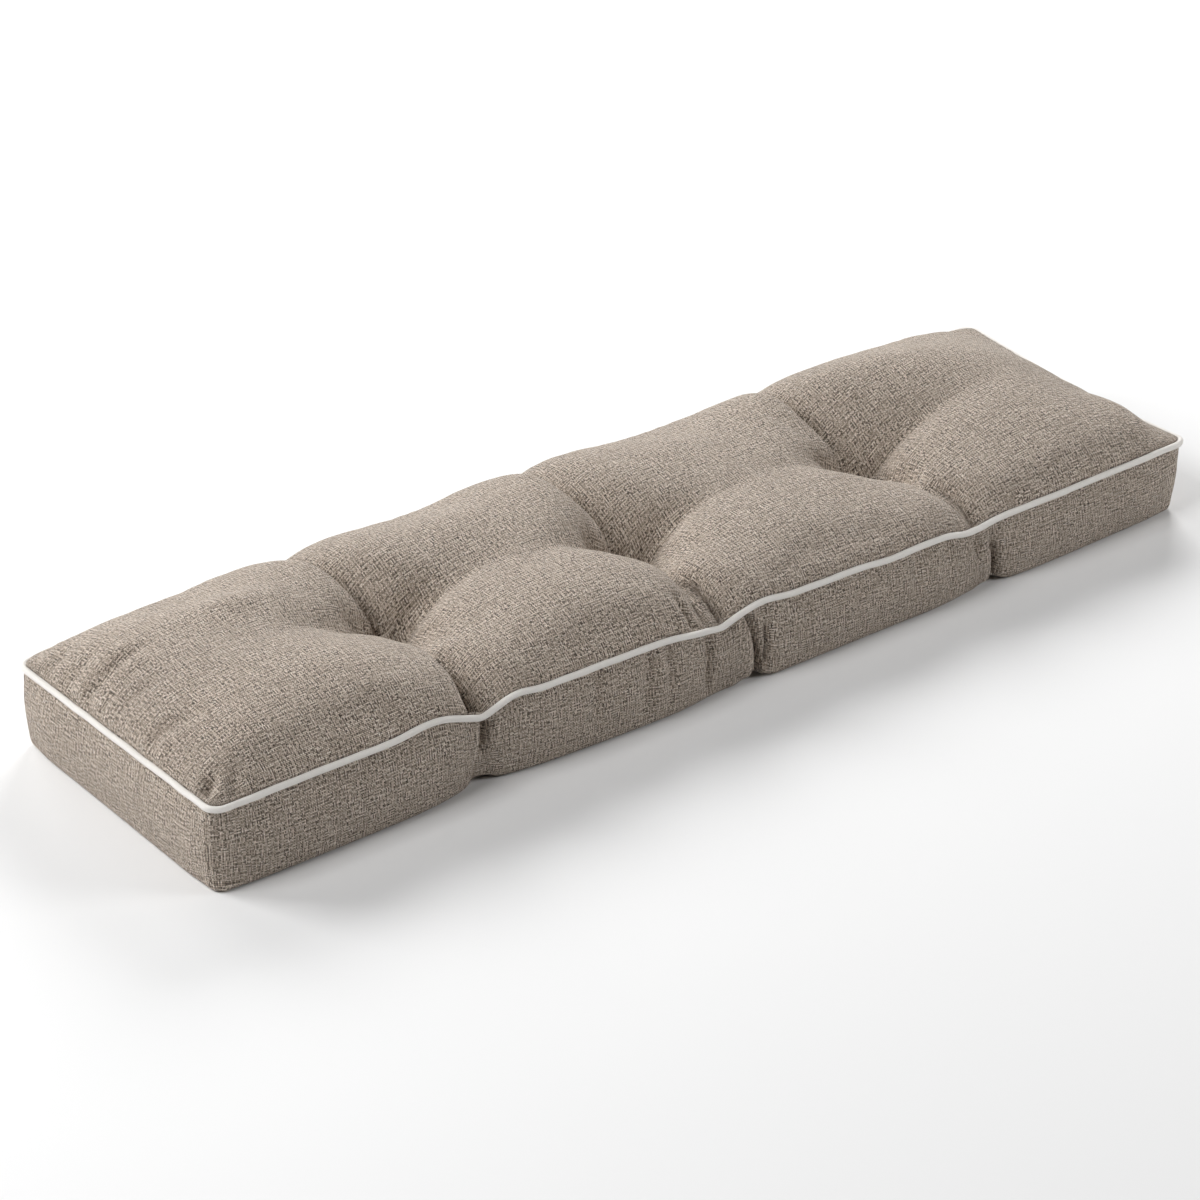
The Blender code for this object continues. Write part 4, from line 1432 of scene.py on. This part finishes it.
@dataclass(frozen=True)
class Weave:
    """A plain weave of slubbed yarn, as a node group that puts out a tone and a height.

    Each yarn has its own number, the floor of the cloth coordinate across it, and each short
    length of a yarn has a random tone of its own. Two neighbouring yarns share a second random
    tone, which one of them adds and the other takes away, so that light and dark lie close
    together and the cloth stays even from afar. Where the sum of two crossing yarns' numbers
    is even the lengthwise yarn lies on top, and else the crosswise one. Slubs are light and dark
    streaks along single yarns, where a slow noise of the yarn is high or low. Tone is 0.5 for
    plain yarn, above it for light slubs and below it for dark ones, and in the gaps between
    yarns it is lowered by painted shade.
    """

    name: str = "slubbed_weave"
    yarn_step: float = 13.7
    waver_scale: float = 60.0
    waver: float = 0.5
    light_start: float = 0.58
    light_full: float = 0.63
    dark_start: float = 0.41
    dark_full: float = 0.36
    dark_share: float = 0.5
    cross_share: float = 0.7
    under_shows: float = 0.4
    cross_layer: float = 7.3
    speckle_crossings: float = 3.3
    piece_shift: float = 0.37
    pair_layer: float = 3.1
    pair_share: float = 0.85

    def group(self) -> bpy.types.NodeTree:
        """Makes the group, or finds it if it has been made.

        Returns:
            The group.
        """
        if self.name in bpy.data.node_groups:
            return bpy.data.node_groups[self.name]
        tree = bpy.data.node_groups.new(self.name, "ShaderNodeTree")
        face = tree.interface
        face.new_socket("Vector", in_out="INPUT", socket_type="NodeSocketVector")
        # the gap input sets the painted shade in the gaps between yarns
        for name in ("Yarns Per Metre", "Slubs Per Metre", "Slub", "Speckle", "Gap",
                     "Two Tone", "Seed"):
            face.new_socket(name, in_out="INPUT", socket_type="NodeSocketFloat")
        for name in ("Tone", "Height"):
            face.new_socket(name, in_out="OUTPUT", socket_type="NodeSocketFloat")
        wiring = Wiring(tree)
        given = wiring.node("NodeGroupInput").outputs
        tone, height = self.wire(wiring, given)
        wiring.node("NodeGroupOutput", {"Tone": tone, "Height": height})
        return tree

    def wire(self, wiring: Wiring, given: object) -> tuple:
        """Wires the group from its inputs to its tone and its height.

        Args:
            wiring: puts nodes into the group.
            given: the group's inputs, by name.

        Returns:
            The tone and the height.
        """
        waver = wiring.noise(given["Vector"], scale=self.waver_scale, detail=1.0)
        waver = wiring.math("MULTIPLY", wiring.math("SUBTRACT", waver, 0.5), self.waver)
        parts = wiring.node("ShaderNodeSeparateXYZ", {0: given["Vector"]}).outputs
        count = given["Yarns Per Metre"]
        across = wiring.math("ADD", wiring.math("MULTIPLY", parts[0], count), waver)
        up = wiring.math("ADD", wiring.math("MULTIPLY", parts[1], count), waver)
        long_tone, long_slub = self.yarn(wiring, given, up, parts[0], 0.0)
        cross_tone, cross_slub = self.yarn(wiring, given, across, parts[1], self.cross_layer)
        number = wiring.math("ADD", wiring.math("FLOOR", across), wiring.math("FLOOR", up))
        over = wiring.span(wiring.math("MODULO", wiring.math("ABSOLUTE", number), 2.0),
                           -self.under_shows, 1.0 + self.under_shows)
        height = wiring.blend(over, self.round(wiring, up), self.round(wiring, across))
        tone = wiring.blend(over, wiring.math("ADD", long_tone, given["Two Tone"]),
                            wiring.math("SUBTRACT", cross_tone, given["Two Tone"]))
        slub = wiring.math("MULTIPLY_ADD", cross_slub, self.cross_share, long_slub)
        tone = wiring.math("MULTIPLY_ADD", slub, given["Slub"], tone)
        # painted shade: the tone is darkened where each yarn's rounded height drops into the gaps
        # between yarns
        gap_shade = wiring.math("MULTIPLY", wiring.math("SUBTRACT", 1.0, height), given["Gap"])
        return wiring.math("SUBTRACT", tone, gap_shade), height

    @staticmethod
    def round(wiring: Wiring, across: object) -> bpy.types.NodeSocket:
        """Height of a round yarn: a half sine over its width."""
        return wiring.math("SINE", wiring.math("MULTIPLY", wiring.math("FRACT", across), np.pi))

    def yarn(self, wiring: Wiring, given: object, across: object, run: object,
             layer: float) -> tuple:
        """Tone of one set of yarns, and its slubs: 1 at light ones and negative at dark ones.

        Args:
            wiring: puts nodes into the group.
            given: the group's inputs, by name.
            across: the cloth coordinate across the yarns, in yarns.
            run: the cloth coordinate along them, in metres.
            layer: keeps this set's random values apart from the other's.

        Returns:
            The tone and the slubs.
        """
        number = wiring.math("MULTIPLY", wiring.math("FLOOR", across), self.yarn_step)
        number = wiring.math("ADD", number, given["Seed"])
        slow = wiring.math("MULTIPLY", run, given["Slubs Per Metre"])
        place = wiring.node("ShaderNodeCombineXYZ", {0: number, 1: slow, 2: layer})
        noise = wiring.noise(place.outputs[0], scale=1.0, detail=1.0)
        dark = wiring.span(noise, self.dark_start, self.dark_full)
        dark = wiring.math("MULTIPLY", dark, self.dark_share)
        slub = wiring.math("SUBTRACT", wiring.span(noise, self.light_start, self.light_full), dark)
        slub = wiring.math("MULTIPLY", slub, self.round(wiring, across))
        half = wiring.math("MULTIPLY", across, 0.5)
        side = wiring.math("SIGN", wiring.math("SUBTRACT", wiring.math("FRACT", half), 0.5))
        pair = wiring.math("MULTIPLY", wiring.math("FLOOR", half), self.yarn_step)
        pair = wiring.math("ADD", pair, given["Seed"])
        own = self.piece_tone(wiring, given, number, run, layer)
        shared = self.piece_tone(wiring, given, pair, run, layer + self.pair_layer)
        speckle = wiring.blend(self.pair_share, own, wiring.math("MULTIPLY", shared, side))
        return wiring.math("MULTIPLY_ADD", speckle, given["Speckle"], 0.5), slub

    def piece_tone(self, wiring: Wiring, given: object, number: object, run: object,
                   layer: float) -> bpy.types.NodeSocket:
        """Random tone of -0.5 to 0.5, one for each short length along the yarn of a number.

        Args:
            wiring: puts nodes into the group.
            given: the group's inputs, by name.
            number: the yarn's number.
            run: the cloth coordinate along the yarn, in metres.
            layer: keeps these random values apart from others.

        Returns:
            The tone.
        """
        crossings = wiring.math("MULTIPLY", run, given["Yarns Per Metre"])
        piece = wiring.math("MULTIPLY_ADD", crossings, 1.0 / self.speckle_crossings,
                            wiring.math("MULTIPLY", number, self.piece_shift))
        place = wiring.node("ShaderNodeCombineXYZ", {
            0: number, 1: wiring.math("FLOOR", piece), 2: layer})
        white = wiring.node("ShaderNodeTexWhiteNoise", {"Vector": place.outputs[0]})
        return wiring.math("SUBTRACT", white.outputs[0], 0.5)


@dataclass(frozen=True)
class ClothFinish:
    """A woven cloth: colours from dark to light yarn, painted gap shade, yarn count, bump, sheen."""

    name: str
    stops: tuple
    yarns_per_metre: float
    slubs_per_metre: float
    slub: float
    speckle: float
    # how far painted shade darkens the gaps between yarns
    gap_shade: float
    two_tone: float
    seed: float
    bump_depth: float
    turn: float = 0.0
    roughness: float = 0.92
    sheen: float = 0.12
    sheen_roughness: float = 0.5

    def material(self) -> bpy.types.Material:
        """A new material of this finish, that follows the cloth's own UV map.

        Returns:
            The material.
        """
        made = bpy.data.materials.new(self.name)
        made.use_nodes = True
        wiring = Wiring(made.node_tree)
        shader = made.node_tree.nodes["Principled BSDF"]
        cloth = wiring.node("ShaderNodeUVMap", uv_map=UV_NAME).outputs[0]
        turned = wiring.node("ShaderNodeMapping", {
            "Vector": cloth, "Rotation": (0.0, 0.0, self.turn)}).outputs[0]
        weave = wiring.node("ShaderNodeGroup", node_tree=Weave().group())
        for name, value in (("Vector", turned), ("Yarns Per Metre", self.yarns_per_metre),
                            ("Slubs Per Metre", self.slubs_per_metre),
                            ("Slub", self.slub), ("Speckle", self.speckle),
                            ("Gap", self.gap_shade), ("Two Tone", self.two_tone),
                            ("Seed", self.seed)):
            wiring.put(weave.inputs[name], value)
        # the colour holds the yarns' own tones and the painted shade in the gaps between yarns
        colour = wiring.ramp(weave.outputs["Tone"], self.stops)
        relief = wiring.node("ShaderNodeBump", {
            "Height": weave.outputs["Height"], "Distance": self.bump_depth, "Strength": 1.0})
        wiring.put(shader.inputs["Base Color"], colour)
        wiring.put(shader.inputs["Normal"], relief.outputs[0])
        wiring.put(shader.inputs["Roughness"], self.roughness)
        wiring.put(shader.inputs["Sheen Weight"], self.sheen)
        wiring.put(shader.inputs["Sheen Roughness"], self.sheen_roughness)
        return made


FABRIC = ClothFinish(
    name="taupe_slub_weave",
    # stops from dark to light yarn; the dark end is also reached by the painted shade in the gaps
    stops=((0.0, (0.050, 0.034, 0.023)), (0.45, (0.610, 0.500, 0.400)),
           (1.0, (0.95, 0.88, 0.80))),
    yarns_per_metre=740.0,
    slubs_per_metre=45.0,
    slub=0.14,
    speckle=1.00,
    # painted shade in the gaps between yarns
    gap_shade=0.60,
    two_tone=0.16,
    seed=3.0,
    bump_depth=0.0006,
)

CORD_CLOTH = ClothFinish(
    name="cream_bias_cord",
    stops=((0.0, (0.74, 0.69, 0.63)), (0.5, (0.93, 0.895, 0.85)), (1.0, (0.96, 0.935, 0.90))),
    yarns_per_metre=1400.0,
    slubs_per_metre=160.0,
    slub=0.1,
    # painted shade in the gaps between yarns
    speckle=0.1,
    gap_shade=0.15,
    two_tone=0.0,
    seed=8.0,
    bump_depth=0.0002,
    turn=np.pi / 4,
)


@dataclass(frozen=True)
class Cover:
    """The sewn cover over its filling: one closed skin in the slubbed cloth."""

    form: CushionForm
    finish: ClothFinish
    fill: float = 0.85

    def build(self) -> bpy.types.Object:
        """Shapes the skin, lays the folds in it and dresses it.

        Returns:
            The cover.
        """
        skin = SkinGrid(self.form).build()
        largest = Filling(self.form).press(skin)
        LOG.info("filling: the panel moves %.1f mm at most, before the cap", 1000.0 * largest)
        HandFolds(self.form).lay(skin)
        piece = dressed("cushion_cover", skin.to_mesh("cushion_cover"), self.finish)
        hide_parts("cushion")
        return piece


@dataclass(frozen=True)
class Piping:
    """The covered cord sewn into the top seam: a round tube along one closed path."""

    form: CushionForm
    finish: ClothFinish
    radius: float = 0.0034
    sides: int = 16
    spacing: float = 0.0027
    dense_long: int = 1600
    dense_deep: int = 600
    join_fade: float = 0.05
    waver: float = 0.0004
    waver_cell: float = 0.024
    swell: float = 0.00012
    swell_cell: float = 0.012
    sway_seed: int = 21
    lift_seed: int = 22
    swell_seed: int = 23

    def path(self) -> Array:
        """Evenly spaced points of the seam, with the slight waver of a hand-fed cord.

        Returns:
            The points of the path, which is closed.
        """
        half_x, half_y = self.form.half_length, self.form.half_depth
        side_x = np.linspace(-half_x, half_x, self.dense_long + 1)
        side_y = np.linspace(-half_y, half_y, self.dense_deep + 1)
        end, side = np.full(self.dense_deep, half_x), np.full(self.dense_long, half_y)
        x = np.concatenate([side_x[:-1], end, side_x[:0:-1], -end])
        y = np.concatenate([-side, side_y[:-1], side, side_y[:0:-1]])
        dense = np.stack(self.form.seam_point(x, y), axis=1)
        closed = np.concatenate([dense, dense[:1]])
        run = np.concatenate([[0.0], np.cumsum(np.linalg.norm(np.diff(closed, axis=0), axis=1))])
        count = int(run[-1] / self.spacing)
        even = np.linspace(0.0, run[-1], count, endpoint=False)
        points = np.stack([np.interp(even, run, closed[:, axis]) for axis in range(3)], axis=1)
        out_x, out_y = self.form.outward(*(np.interp(even, run, np.append(values, values[0]))
                                           for values in (x, y)))
        fade = smooth_step(even / self.join_fade) * smooth_step((run[-1] - even) / self.join_fade)
        waver = self.waver * fade
        level = np.zeros_like(even)
        sway = waver * value_noise(even, level, self.waver_cell, self.sway_seed)
        lift = waver * value_noise(even, level, self.waver_cell, self.lift_seed)
        return points + np.stack([out_x * sway, out_y * sway, lift], axis=1)

    def build(self) -> bpy.types.Object:
        """Sweeps a ring along the path, with its faces pointing outwards, and dresses it.

        Returns:
            The piping.
        """
        path = self.path()
        ahead = np.roll(path, -1, axis=0) - np.roll(path, 1, axis=0)
        ahead /= np.linalg.norm(ahead, axis=1, keepdims=True)
        side = np.cross(ahead, (0.0, 0.0, 1.0))
        side /= np.linalg.norm(side, axis=1, keepdims=True)
        up = np.cross(side, ahead)
        count = len(path)
        angle = np.linspace(0.0, 2 * np.pi, self.sides, endpoint=False)
        run = np.arange(count) * self.spacing
        radius = self.radius + self.swell * value_noise(
            run, np.zeros_like(run), self.swell_cell, self.swell_seed)
        ring = side[:, None] * np.cos(angle)[:, None] + up[:, None] * np.sin(angle)[:, None]
        points = path[:, None] + radius[:, None, None] * ring
        place, turn = np.meshgrid(np.arange(count), np.arange(self.sides), indexing="ij")
        place, turn = place.ravel(), turn.ravel()
        after, beside = (place + 1) % count, (turn + 1) % self.sides
        faces = np.stack([place * self.sides + turn, after * self.sides + turn,
                          after * self.sides + beside, place * self.sides + beside], axis=1)
        u = np.stack([place, place + 1, place + 1, place], axis=1) * self.spacing
        v = np.stack([turn, turn, turn + 1, turn + 1], axis=1) * (
            2 * np.pi * self.radius / self.sides)
        mesh = bpy.data.meshes.new("piping_cord")
        mesh.from_pydata(points.reshape(-1, 3).tolist(), [], faces.tolist())
        layer = mesh.uv_layers.new(name=UV_NAME)
        layer.uv.foreach_set("vector", np.stack([u, v], axis=-1).ravel().astype(np.float32))
        mesh.shade_smooth()
        piece = dressed("piping_cord", mesh, self.finish)
        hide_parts("piping")
        return piece


def dressed(name: str, mesh: bpy.types.Mesh, finish: ClothFinish) -> bpy.types.Object:
    """A piece of the cushion in the scene, in its finish and on its one body.

    Args:
        name: the piece's name.
        mesh: its mesh.
        finish: its cloth.

    Returns:
        The piece.
    """
    mesh.materials.append(finish.material())
    piece = bpy.data.objects.new(name, mesh)
    bpy.context.scene.collection.objects.link(piece)
    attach(piece, "root")
    return piece


@dataclass(frozen=True)
class SoftBox:
    """A square soft light that faces the cushion from a distance.

    Azimuth is measured as the camera's: 0 is in front, -Y, and 90 at the right, +X.
    """

    name: str
    azimuth: float
    elevation: float
    power: float
    width: float = 1.5
    distance: float = 4.0

    def build(self) -> bpy.types.Object:
        """Adds the light to the scene.

        Returns:
            The light.
        """
        azimuth, elevation = np.radians((self.azimuth, self.elevation))
        place = self.distance * Vector((np.sin(azimuth) * np.cos(elevation),
                                        -np.cos(azimuth) * np.cos(elevation),
                                        np.sin(elevation)))
        data = bpy.data.lights.new(self.name, "AREA")
        data.size, data.energy = self.width, self.power
        lamp = bpy.data.objects.new(self.name, data)
        lamp.location = place
        lamp.rotation_euler = (-place).to_track_quat("-Z", "Y").to_euler()
        bpy.context.scene.collection.objects.link(lamp)
        return lamp


@dataclass(frozen=True)
class Studio:
    """Floor, lights, surroundings and the camera, whose two angles are in radians."""

    floor_size: float = 40.0
    floor_colour: tuple[float, float, float, float] = (0.86, 0.86, 0.86, 1.0)
    floor_roughness: float = 0.9
    floor_gloss: float = 0.1
    ambient: float = 0.0
    azimuth: float = -0.64925
    elevation: float = 0.52982
    camera_place: tuple[float, float, float] = (-2.50105, -3.25066, 2.42677)
    lens: float = 140.811
    sensor_width: float = 36.0
    lights: tuple[SoftBox, ...] = (
        SoftBox("back_right", 135.0, 30.0, 100.0),
        SoftBox("back", 180.0, 30.0, 40.0),
        SoftBox("back_left", 225.0, 30.0, 85.0),
        SoftBox("left_top", 270.0, 55.0, 62.0),
        SoftBox("left_low", 270.0, 30.0, 12.0),
        SoftBox("right_fill", 45.0, 30.0, 51.0),
        SoftBox("right_low", 90.0, 30.0, 7.0),
    )

    def floor(self) -> bpy.types.Object:
        """A plain pale floor at Z = 0.

        Returns:
            The floor, which is part of the studio alone.
        """
        half = self.floor_size / 2
        mesh = bpy.data.meshes.new("studio_floor")
        mesh.from_pydata([(-half, -half, 0.0), (half, -half, 0.0), (half, half, 0.0),
                          (-half, half, 0.0)], [], [(0, 1, 2, 3)])
        material = bpy.data.materials.new("pale_floor")
        material.use_nodes = True
        shader = material.node_tree.nodes["Principled BSDF"]
        shader.inputs["Base Color"].default_value = self.floor_colour
        shader.inputs["Roughness"].default_value = self.floor_roughness
        shader.inputs["Specular IOR Level"].default_value = self.floor_gloss
        mesh.materials.append(material)
        floor = bpy.data.objects.new("studio_floor", mesh)
        bpy.context.scene.collection.objects.link(floor)
        return floor

    def surroundings(self) -> None:
        """An even, neutral light from all round."""
        world = bpy.data.worlds.new("studio")
        world.use_nodes = True
        back = world.node_tree.nodes["Background"]
        back.inputs["Color"].default_value = (1.0, 1.0, 1.0, 1.0)
        back.inputs["Strength"].default_value = self.ambient
        bpy.context.scene.world = world

    def camera(self) -> bpy.types.Object:
        """The camera, turned by azimuth about Z and raised by elevation.

        Returns:
            The camera.
        """
        sin_a, cos_a = np.sin(self.azimuth), np.cos(self.azimuth)
        sin_e, cos_e = np.sin(self.elevation), np.cos(self.elevation)
        right = Vector((cos_a, sin_a, 0.0))
        back = Vector((sin_a * cos_e, -cos_a * cos_e, sin_e))
        data = bpy.data.cameras.new("camera")
        data.lens, data.sensor_width = self.lens, self.sensor_width
        camera = bpy.data.objects.new("camera", data)
        turn = Matrix((right, back.cross(right), back)).transposed().to_4x4()
        camera.matrix_world = Matrix.Translation(self.camera_place) @ turn
        bpy.context.scene.collection.objects.link(camera)
        bpy.context.scene.camera = camera
        return camera

    def build(self) -> None:
        """Sets the whole studio up."""
        self.floor()
        self.surroundings()
        for light in self.lights:
            light.build()
        self.camera()
        bpy.context.scene.view_settings.view_transform = "Standard"


def main() -> None:
    """Builds the cushion and its studio, and reports each piece."""
    logging.basicConfig(level=logging.INFO, format="%(name)s: %(message)s")
    form = CushionForm()
    for piece in (Cover(form, FABRIC).build(), Piping(form, CORD_CLOTH).build()):
        LOG.info("%s: %d faces", piece.name, len(piece.data.polygons))
    Studio().build()


if __name__ == "__main__":
    main()
